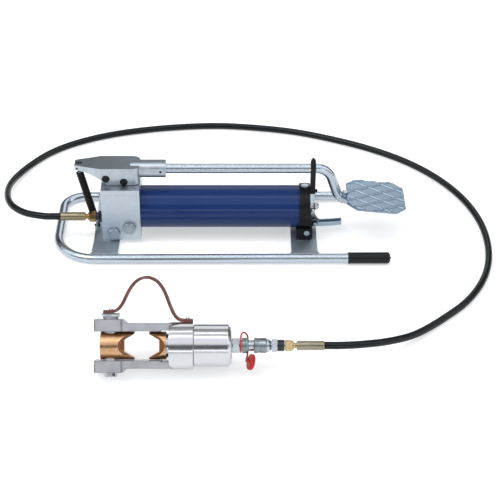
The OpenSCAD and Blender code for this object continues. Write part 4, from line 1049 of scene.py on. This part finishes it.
@dataclass
class Pump:
    """The pump block with its plugs, end cap, strap and springs, sizes in mm."""

    plug_across: float = 26.0
    plug_height: float = 7.0
    plug_depth: float = 18.0
    strap_radius: float = 13.7
    strap_eye: float = 7.0
    strap_tip: float = 8.0
    lever_radius: float = 10.5
    peg_radius: float = 3.3
    spring_wire: float = 3.8
    spring_radius: float = 6.6
    spring_pin: float = 2.5
    spring_turns: int = 28
    spring_foot: Point = (-98.0, 16.0)
    spring_top: Point = (-132.0, 168.0)
    pedal_wire: float = 1.0
    pedal_radius: float = 2.5
    pedal_peg: float = 1.5
    pedal_turns: int = 9
    pedal_hook: Point = (384.0, 25.0)
    cap_hook: Point = (368.0, 52.0)

    def build(self) -> None:
        """Makes the pump's own detailed pieces."""
        Shop.refined("pump_block", 0.7, Body.ROOT, BLOCK)
        self.plugs()
        Shop.refined("end_cap", 0.8, Body.ROOT, BLACK)
        self.strap()
        self.return_spring()
        self.pedal_spring()
        Shop.refined("release_pedal", 0.5, Body.PEDAL, SHEET)

    def plugs(self) -> None:
        """Makes the two hexagon plugs, chamfered, each on a sealing ring."""
        low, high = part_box("valve_plugs")
        half, top, depth = self.plug_across / 2, self.plug_height, self.plug_depth
        corner = half / cos(radians(30))
        places = ((low.x / MM + corner, low.z / MM + half), (high.x / MM - corner, high.z / MM - half))
        pieces = []
        for k, (x, z) in enumerate(places):
            plug = Shop.hexagon(f"plug_{k}", self.plug_across, 0.8, top, 2.0)
            seat = Shop.turned(f"plug_seat_{k}", [
                (-depth, 0), (-depth, 9), (0, 9), (0, half - 0.3), (0.9, half - 0.1), (1.4, half - 1.4),
                (top - 0.4, half - 3.2), (top + 0.25, half - 4.0), (top + 0.25, 0)], 48)
            plug = Shop.ease(Shop.join(f"plug_{k}", [plug, seat]), 0.3)
            pieces.append(Shop.place(plug, shift(x, high.y / MM - depth, z) @ turn(-90, "Z")))
        plugs = Shop.join("valve_plugs_turned", pieces)
        Shop.settle(plugs, Matrix.Identity(4), Body.ROOT, PLUG_STEEL, "valve_plugs")

    def strap(self) -> None:
        """Moulds the hold-down strap: eye, two bands and a pointed tab over the lever."""
        low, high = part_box("hold_down_strap")
        thick = (high.x - low.x) / MM
        peg = low.z / MM + self.strap_eye
        lever_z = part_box("lever_tube")[1].z / MM - self.lever_radius
        top = high.z / MM
        tab = [(2.2, top - 1.6), (0.9, top), (-0.9, top), (-2.2, top - 1.6)]
        outline = self.arc(self.strap_eye, peg, range(200, 341, 20))
        outline += self.arc(self.strap_radius, lever_z, range(-14, 47, 12)) + tab
        outline += self.arc(self.strap_radius, lever_z, range(134, 195, 12))
        strap = Shop.prism("strap_moulded", outline, 0, thick)
        for z, r in ((lever_z, self.lever_radius + 0.4), (peg, self.peg_radius + 0.1)):
            drill = Shop.turned("drill", [(-5, 0), (-5, r), (thick + 5, r), (thick + 5, 0)], 40)
            Shop.carve(strap, Shop.place(drill, shift(z=z) @ turn(90, "Z")))
        slot = [(-2.2, peg + 10.5), (2.2, peg + 10.5), (5.6, lever_z - 15.5), (-5.6, lever_z - 15.5)]
        Shop.carve(strap, Shop.prism("slot", slot, -5, thick + 5))
        inner, tip = thick / 2 - 0.9, self.strap_tip
        for side in (-1, 1):
            corners = [(-1.0, top - tip - tip / inner), (-1.0, top + 1), (inner * (1 + 1 / tip), top + 1)]
            wedge = Shop.prism("tip_cut", [(x if side < 0 else thick - x, z) for x, z in corners], -12, 12)
            Shop.carve(strap, Shop.place(wedge, turn(90, "Z")))
        Shop.ease(strap, 1.2, 3)
        where = Matrix.Translation((low.x, centre("reservoir_tube").y, 0)) @ turn(-90, "Z")
        Shop.settle(strap, where, Body.ROOT, RUBBER, "hold_down_strap")
        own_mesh(strap)

    @staticmethod
    def arc(r: float, z: float, angles: range) -> list[Point]:
        """Points of a circle of radius r round the height z, at angles in degrees."""
        return [(r * cos(radians(a)), z + r * sin(radians(a))) for a in angles]

    @staticmethod
    def at(place: Point) -> Vector:
        """Turns a place in the pump's middle plane, in millimetres, into one in the row, in metres."""
        return PUMP @ spot(place[0], 0, place[1])

    @staticmethod
    def coil(start: Vector, end: Vector, wire: float, r: float, pin: float, turns: int,
             room: float = 0.0) -> list[Vector]:
        """Works out an extension spring's wire from one pin to the other.

        Args:
            start: Middle of the first pin, in metres.
            end: Middle of the second pin.
            wire: Thickness of the wire, in millimetres.
            r: Mean radius of the curls.
            pin: Radius of the pins.
            turns: Number of curls.
            room: How much longer each hook's eye is along the spring, for one that flattens.

        Returns:
            Points of the wire's centreline, in metres.
        """
        way = end - start
        length = way.length / MM
        hook = pin + wire / 2 + 0.3
        z0 = hook + r + wire
        pitch = (length - 2 * z0) / turns
        tall = hook + room
        rise = []
        for k in range(1, 9):
            t = k / 9
            rise.append((hook + (r - hook) * t * t * (3 - 2 * t), z0 * t))
        path = [(hook * cos(radians(a)), 0, tall * sin(radians(a))) for a in range(-200, 1, 20)]
        path += [(x, 0, z) for x, z in rise]
        for k in range(16 * turns + 1):
            a = k * pi / 8
            path.append((r * cos(a), r * sin(a), z0 + pitch * k / 16))
        path += [(x, 0, length - z) for x, z in rise[::-1]]
        path += [(hook * cos(radians(a)), 0, length + tall * sin(radians(a))) for a in range(0, 201, 20)]
        lean = Matrix.Rotation(atan2(way.x, way.z), 4, "Y")
        return [start + lean @ spot(*p) for p in path]

    def return_spring(self) -> None:
        """Winds the lever's return spring between its two pins."""
        foot = self.at(self.spring_foot)
        path = self.coil(foot, self.at(self.spring_top), self.spring_wire, self.spring_radius,
                         self.spring_pin, self.spring_turns, 0.8)
        spring = Shop.swept("return_spring_wound", path, self.spring_wire / 2, 12)
        Shop.fit(spring, Body.ROOT, SPRING_STEEL, "return_spring")
        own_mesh(spring)

    def pedal_spring(self) -> None:
        """Winds the pedal's small spring between the cap's peg and the pedal's pin."""
        start = self.at(self.pedal_hook)
        end = self.at(self.cap_hook)
        path = self.coil(start, end, self.pedal_wire, self.pedal_radius, self.pedal_peg, self.pedal_turns)
        spring = Shop.swept("pedal_spring_wound", path, self.pedal_wire / 2, 8)
        Shop.fit(spring, None, STEEL, "pedal_spring")
        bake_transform(spring)


@dataclass
class Lever:
    """The lever head, its bent tube and the ribbed tread plate, sizes in mm and degrees."""

    radius: float = 10.5
    wall: float = 2.5
    run: float = 376.0
    bend: float = 35.0
    low_bend: float = 28.0
    angle: float = 72.0
    steep: float = 37.0
    tread_fall: float = 6.0
    tread_run: float = 70.0
    plate_start: float = -3.0
    plate_length: float = 126.0
    plate_width: float = 118.0
    plate_thick: float = 4.0
    plate_gap: float = 0.02
    corner: float = 21.0
    rib_height: float = 2.1
    rib_pitch: float = 28.8
    rib_slant: float = 29.0
    rib_middle: float = 78.0

    def build(self) -> None:
        """Makes the lever's pieces."""
        Shop.refined("lever_head", 1.0, Body.LEVER, CAST, 3)
        self.tube()
        self.plate()
        self.bolt()

    def socket(self) -> Point:
        """Start of the tube along the pump and its height, in millimetres from the block's face."""
        low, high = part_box("lever_tube")
        return (low.x - PUMP.translation.x) / MM, high.z / MM - self.radius

    def steep_end(self) -> Point:
        """Lower end of the tube's steep run, along the pump and in height."""
        a = radians(self.angle)
        return (self.run + self.bend * sin(a) + self.steep * cos(a),
                self.socket()[1] - self.bend * (1 - cos(a)) - self.steep * sin(a))

    def tread_place(self, x: float, z: float) -> Matrix:
        """Place on the lever's last run, which the tread plate lies on.

        Args:
            x: Distance along the run, in millimetres.
            z: Distance above the tube's top.

        Returns:
            The place in the row frame.
        """
        a, b = radians(self.angle), radians(self.tread_fall)
        x2, z2 = self.steep_end()
        start = shift(x2 + self.low_bend * (sin(a) - sin(b)), 0, z2 - self.low_bend * (cos(b) - cos(a)))
        return PUMP @ start @ turn(self.tread_fall, "Y") @ shift(x, 0, self.radius + self.plate_gap + z)

    def tube(self) -> None:
        """Draws the tube: a ring extruded straight and spun round both bends."""
        start, z = self.socket()
        Shop.clear()
        bpy.ops.mesh.primitive_circle_add(
            vertices=40, radius=self.radius * MM, fill_type="NOTHING", location=(start * MM, 0, z * MM),
            rotation=(0, pi / 2, 0))
        tube = bpy.context.object
        tube.name = "lever_tube_bent"
        bpy.ops.object.transform_apply(location=True, rotation=True, scale=True)
        a, b = radians(self.angle), radians(self.tread_fall)
        x2, z2 = self.steep_end()
        first = spot(self.run, 0, z - self.bend)
        second = spot(x2 + self.low_bend * sin(a), 0, z2 + self.low_bend * cos(a))
        with Shop.editing(tube):
            self.push(self.run - start, 0)
            bpy.ops.mesh.spin(steps=18, angle=a, center=first, axis=(0, -1, 0))
            self.push(self.steep * cos(a), -self.steep * sin(a))
            bpy.ops.mesh.spin(steps=16, angle=a - b, center=second, axis=(0, 1, 0))
            self.push(self.tread_run * cos(b), -self.tread_run * sin(b))
            bpy.ops.mesh.select_all(action="SELECT")
            bpy.ops.mesh.remove_doubles(threshold=1e-6)
        Shop.modify(tube, "SOLIDIFY", thickness=self.wall * MM, offset=-1)
        Shop.fit(Shop.place(Shop.ease(tube, 0), PUMP), Body.LEVER, ZINC, "lever_tube")

    @staticmethod
    def push(x: float, z: float) -> None:
        """Extrudes the selected ring by a step in millimetres."""
        bpy.ops.mesh.extrude_edges_move(TRANSFORM_OT_translate={"value": (x * MM, 0, z * MM)})

    def outline(self, grow: float = 0.0) -> list[Point]:
        """Corners of the eight sided plate.

        Args:
            grow: How far the outline is moved outwards.

        Returns:
            The corners along and across.
        """
        x0, x1 = self.plate_start - grow, self.plate_start + self.plate_length + grow
        w, c = self.plate_width / 2 + grow, self.corner + 0.4 * grow
        return [(x0, c - w), (x0 + c, -w), (x1 - c, -w), (x1, c - w), (x1, w - c), (x1 - c, w), (x0 + c, w),
                (x0, w - c)]

    def plate(self) -> None:
        """Presses the tread plate: sheet, welded tab and crossing ribs with sloped sides."""
        flip = turn(90, "X")
        top = self.plate_thick
        sheet = Shop.place(Shop.prism("tread_sheet", self.outline(), 0, top), flip)
        tab0, tab1 = self.plate_start - 8, self.plate_start + 4
        tab = Shop.prism("tread_tab", [(tab0, -9), (tab1, -9), (tab1, 9), (tab0, 9)], 0.4, top)
        pieces = [sheet, Shop.place(tab, flip)]
        half = (self.plate_length + self.plate_width) / 2
        section = [(-3.4, top - 0.6), (3.4, top - 0.6), (1.3, top + self.rib_height),
                   (-1.3, top + self.rib_height)]
        for slant in (-self.rib_slant, self.rib_slant):
            for k in range(-3, 3):
                rib = Shop.prism(f"rib_{k}", section, -half, half)
                Shop.place(rib, shift(self.plate_start + self.rib_middle) @ turn(slant, "Z")
                           @ shift(y=(k + 0.5) * self.rib_pitch) @ turn(90, "Z"))
                limit = Shop.place(Shop.prism("limit", self.outline(-0.5), -30, 10), flip)
                Shop.carve(rib, limit, "INTERSECT")
                if rib.data.polygons:
                    pieces.append(rib)
                else:
                    bpy.data.objects.remove(rib)
        plate = Shop.ease(Shop.join("tread_plate_pressed", pieces), 0.45)
        Shop.fit(Shop.place(plate, self.tread_place(0, 0)), Body.LEVER, TREAD, "tread_plate")

    def bolt(self) -> None:
        """Makes the small hexagon bolt in the plate's tab."""
        bolt = Shop.hexagon("tread_bolt_turned", 10.0, 0, 5.0, 1.0)
        shank = Shop.turned("shank", [(-8.5, 0), (-8.5, 3), (0.2, 3), (0.2, 4.6), (0.4, 4.6), (0.4, 0)], 24)
        bolt = Shop.ease(Shop.join("tread_bolt_turned", [bolt, shank]), 0.2)
        where = self.tread_place(-5.5, self.plate_thick) @ turn(-90, "Y")
        Shop.settle(bolt, where, Body.LEVER, STEEL, "tread_bolt")


@dataclass
class CrimpHead:
    """The crimping head with its coupler, pin and leather strap, sizes in mm."""

    leather: float = 6.0
    leather_width: float = 26.0
    sleeve: float = 15.0
    sleeve_length: float = 24.0
    body: float = 13.0
    cap: float = 15.5
    notches: int = 20
    spigot: float = 12.5
    inlet: float = 19.0
    tether: float = 1.75
    hub_start: float = 113.0
    hub_end: float = 159.0
    strap_low: float = 48.3
    strap_high: float = 65.3
    ram_wire: float = 5.0
    ram_curl: float = 28.0
    ram_turns: int = 4
    ram_stroke: float = 28.4

    def build(self) -> None:
        """Makes the head's pieces."""
        self.brush_arms(Shop.refined("yoke", 0.6, Body.ROOT, HEAD_STEEL))
        Shop.refined("cylinder_body", 0.6, Body.ROOT, HEAD_STEEL)
        Shop.refined("moving_die", 0.6, Body.RAM, BRONZE)
        Shop.refined("fixed_die", 0.6, Body.ROOT, BRONZE)
        Shop.refined("locking_pin", 0.5, Body.PIN, ARM_STEEL)
        self.ram_spring()
        self.strap()
        self.coupler_sleeve()
        self.coupler_body()
        self.nipple()
        self.dust_cap()
        self.tether_cord()

    def ram_spring(self) -> None:
        """Winds the ram's return spring round its rod, from the hub's spigot to the piston."""
        low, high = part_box("ram_spring")
        length = (high.x - low.x) / MM
        steps = 24 * self.ram_turns
        path = []
        for k in range(steps + 1):
            a = 2 * pi * self.ram_turns * k / steps
            x = self.ram_wire / 2 + (length - self.ram_wire) * k / steps
            path.append(spot(x, self.ram_curl * cos(a), self.ram_curl * sin(a)))
        foot = start_of("ram_spring")
        spring = Shop.swept("ram_spring_wound", path, self.ram_wire / 2, 12)
        Shop.place(spring, Matrix.Translation(foot))
        Shop.fit(spring, Body.ROOT, SPRING_STEEL, "ram_spring")
        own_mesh(spring)

    def brush_arms(self, yoke: Mesh) -> None:
        """Gives the yoke's flat arms a brushed finish beside its polished hub.

        Args:
            yoke: The finished yoke.
        """
        yoke.data.materials.append(ARM_STEEL.material())
        back = HEAD.inverted()
        for face in yoke.data.polygons:
            if (back @ face.center).x < self.hub_start * MM:
                face.material_index = 1

    def route(self) -> list[Point]:
        """Centreline of the leather strap's arch, from the pin's head to the hub.

        Returns:
            Places along the head and from its axis.
        """
        high, low, x = self.strap_high, self.strap_low, 115.0
        return [(-17, high), (-14, high), (0, high), (12, high + 3), (22, high + 14), (31, high + 32),
                (40, high + 48), (53, high + 61), (70, high + 66), (87, high + 60), (99, high + 47),
                (107, high + 31), (x, low + 27), (x + 8, low + 10.5), (x + 16, low + 2.6),
                (x + 24, low + 0.3), (x + 33, low), (self.hub_end - 0.5, low), (self.hub_end + 2.5, low)]

    @staticmethod
    def beside(line: list[Vector], offset: float) -> list[Vector]:
        """Moves a line in X and Z sideways.

        Args:
            line: Its points.
            offset: How far it is moved, outwards where above 0.

        Returns:
            The moved points.
        """
        moved = []
        for k, here in enumerate(line):
            ahead = line[min(k + 1, len(line) - 1)] - line[max(k - 1, 0)]
            moved.append(here + Vector((-ahead.z, 0, ahead.x)).normalized() * offset)
        return moved

    def strap(self) -> None:
        """Cuts the strap from two plies of leather, the inner one a little narrower."""
        run = Shop.smooth([Vector((x, 0, z)) for x, z in self.route()], 6)
        ply = self.leather / 2 - 0.15
        plies = []
        for sign in (-1, 1):
            line = self.beside(run, sign * (ply / 2 + 0.12))
            half = self.leather_width / 2 - (0.0 if sign > 0 else 0.5)
            ring = self.beside(line, ply / 2) + self.beside(line, -ply / 2)[::-1]
            piece = Shop.prism("ply", [(p.x, p.z) for p in ring], -half, half)
            plies.append(Shop.ease(piece, 0.7, 3, 50))
        strap = Shop.place(Shop.join("strap_two_plies", plies), HEAD)
        Shop.fit(strap, None, LEATHER, "pin_strap")
        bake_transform(strap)

    def coupler_sleeve(self) -> None:
        """Turns the coupler's sleeve with its waist and finger grooves."""
        r, end = self.sleeve, self.sleeve_length
        profile = [(0, self.body + 0.05), (0, r - 0.9), (0.9, r), (6.4, r), (7.4, r - 0.8), (8.4, r - 1.1),
                   (10.4, r - 1.1), (11.6, r - 0.5)]
        for k in range(5):
            x = 12.4 + 1.7 * k
            profile += [(x, r - 0.05), (x + 0.9, r - 0.05), (x + 1.2, r - 0.35)]
        profile += [(end - 1.6, r), (end - 0.2, r - 1.2), (end, r - 1.6), (end, self.body + 0.05)]
        sleeve = Shop.ease(Shop.turned("sleeve_turned", profile, 56, closed=True), 0)
        where = HEAD @ shift(along_head("coupler_sleeve"))
        Shop.settle(sleeve, where, Body.SLEEVE, GREY_STEEL, "coupler_sleeve")

    def coupler_body(self) -> None:
        """Turns the coupler's body, its hexagon and the dark ring nut behind it."""
        start = along_head("coupler_body")
        tail = start + self.sleeve_length + 10
        ring = tail + 11.3
        end = ring + 14.6
        body = Shop.turned("coupler_turned", [
            (start, 10.15), (start, 12.4), (start + 0.6, 13), (tail - 6, 13), (tail - 5.2, 12.2),
            (tail - 0.6, 8.4), (tail + 0.5, 8.4), (tail + 0.5, 9), (end - 0.4, 9), (end, 8.6), (end, 3),
            (start + 18, 3), (start + 18, 10.15)], 56, closed=True)
        hexagon = Shop.hexagon("coupler_hexagon", 24.0, tail, tail + 11, 1.6)
        body = Shop.ease(Shop.join("coupler_body_turned", [body, hexagon]), 0.2)
        profile = [(ring, 9.05), (ring, 10.6), (ring + 0.6, 11.4)]
        for k in range(4):
            x = ring + 2.2 + 2.6 * k
            profile += [(x, 11.4), (x + 0.4, 10.9), (x + 0.9, 10.9), (x + 1.3, 11.4)]
        profile += [(ring + 12.4, 11.4), (ring + 13, 10.8), (ring + 13, 9.05)]
        nut = Shop.ease(Shop.turned("coupler_ring_nut", profile, 56, closed=True), 0.12)
        for piece, finish in ((body, STEEL), (nut, DARK_STEEL)):
            Shop.settle(piece, HEAD, Body.ROOT, finish, "coupler_body")

    def nipple(self) -> None:
        """Makes the inlet's hexagon, threaded neck and the coupler's male half."""
        inlet = along_head("coupler_nipple") + self.spigot
        hexagon = Shop.hexagon("inlet_hexagon", 28.0, inlet + 0.2, inlet + 14.6, 1.8)
        end = inlet + self.inlet
        thread = []
        for k in range(3):
            x = inlet + 14.6 + 1.3 * k
            thread += [(x, 9.6), (x + 0.65, 10.4)]
        profile = [(inlet - 12, 3), (inlet - 12, 11.9), (inlet, 11.9), (inlet + 0.1, 13.2),
                   (inlet + 0.9, 13.2), (inlet + 0.9, 10.4), *thread, (end, 10.4), (end, 10.9),
                   (end + 22.6, 10.9), (end + 23, 9.9), (end + 39.6, 9.9), (end + 39.6, 3)]
        r = self.sleeve
        ring = [(end + 0.05, 10.95), (end + 0.05, r - 1.4), (end + 0.9, r - 0.2), (end + 2, r),
                (end + 4.4, r), (end + 4.8, r - 0.5), (end + 5.8, r - 0.5), (end + 6.2, r),
                (end + 10.6, r), (end + 12, r - 0.8), (end + 12.9, r - 2.2), (end + 13, 10.95)]
        turned = Shop.turned("inlet_turned", profile, 56, closed=True)
        nipple = Shop.join("inlet_and_nipple", [hexagon, turned])
        collar = Shop.turned("nipple_collar", ring, 56, closed=True)
        for piece, finish in ((nipple, STEEL), (collar, GREY_STEEL)):
            Shop.settle(Shop.ease(piece, 0.2), HEAD, Body.ROOT, finish, "coupler_nipple")

    def dust_cap(self) -> None:
        """Moulds the dust cap with grip notches round its rim."""
        r = self.cap
        cap = Shop.turned("dust_cap_moulded", [
            (0, 0), (0, r - 1.6), (0.4, r - 0.7), (1.4, r), (6.4, r), (7.4, r - 0.6), (8, r - 1.5),
            (8, r - 2.8), (2.2, r - 3.1), (2.2, 0)], 60)
        for k in range(self.notches):
            a = 2 * pi * k / self.notches
            cutter = Shop.turned("notch", [(1.2, 0), (1.2, 0.7), (9, 0.7), (9, 0)], 10)
            Shop.carve(cap, Shop.place(cutter, shift(0, r * cos(a), r * sin(a))))
        Shop.ease(cap, 0.2)
        start = along_head("coupler_nipple") + self.spigot + self.inlet
        hanging = shift(start + 13.5, -4, -self.sleeve - r - 0.5)
        where = HEAD @ hanging @ turn(18, "Z") @ turn(102, "Y") @ turn(-90, "Y")
        Shop.settle(cap, where, Body.ROOT, RED, "dust_cap")

    def tether_cord(self) -> None:
        """Moulds the dust cap's tether: a ring on the nipple and a tail round to the cap."""
        eye = along_head("coupler_nipple") + self.spigot + self.inlet - 3.7
        tail = ((1.5, 0, 0), (1.5, 0, 12.5), (3, 1, 22), (7, 3, 25), (12, 7, 22), (15, 13, 15), (15, 18, 5),
                (15, 19, -6), (14, 14, -20), (12, 6, -27), (12, -2, -30.2), (14.2, -4.6, -30.4),
                (16.8, -4.1, -30.9), (19, -3.4, -31.4))
        path = Shop.smooth([spot(eye + x, y, z) for x, y, z in tail], 8)
        cord = Shop.swept("tether_tail", path, self.tether, 16)
        ring = Shop.turned("tether_eye", [(eye, 10.8), (eye, 13.6), (eye + 0.4, 14), (eye + 2.6, 14),
                                          (eye + 3, 13.6), (eye + 3, 10.8)], 40, closed=True)
        tether = Shop.ease(Shop.join("tether_moulded", [ring, cord]), 0, angle=50)
        Shop.fit(Shop.place(tether, HEAD), Body.ROOT, TETHER, "dust_cap_tether")


PLAIN_NODES: dict[Finish, tuple[str, ...]] = {
    ZINC: ("base_frame",),
    BRACKET: ("front_bracket", "rear_bracket", "spring_anchor"),
    BLOCK: ("piston_gland",),
    STEEL: ("bracket_screws", "block_screws", "valve_balls", "pump_piston", "suction_strainer", "tie_rod",
            "foot_plugs", "filler_plug", "dome_nut", "pedal_pin", "release_plunger", "ram"),
    BRASS: ("nut_washer",),
    BLUE: ("reservoir_tube",),
    BLACK: ("strap_peg", "fulcrum_pin", "piston_pin"),
    DARK_STEEL: ("pin_rivets", "hub_rivets", "socket_screw", "spring_pin"),
    SEAL: ("reservoir_seals", "piston_seal"),
}


def dress_nodes() -> None:
    """Gives every CAD node that stays in sight or inside its own material."""
    for finish, nodes in PLAIN_NODES.items():
        for node in nodes:
            for slot in frame["nodes"][node].material_slots:
                slot.material = finish.material()
            log.info("%s keeps its solid, in %s", node, finish.name)


def main() -> None:
    """Builds the studio and each sub-assembly in order."""
    logging.basicConfig(level=logging.INFO, format="%(message)s")
    Studio().build()
    Hose().build()
    GroundFrame().build()
    Pump().build()
    Lever().build()
    CrimpHead().build()
    dress_nodes()


if __name__ == "__main__":
    main()
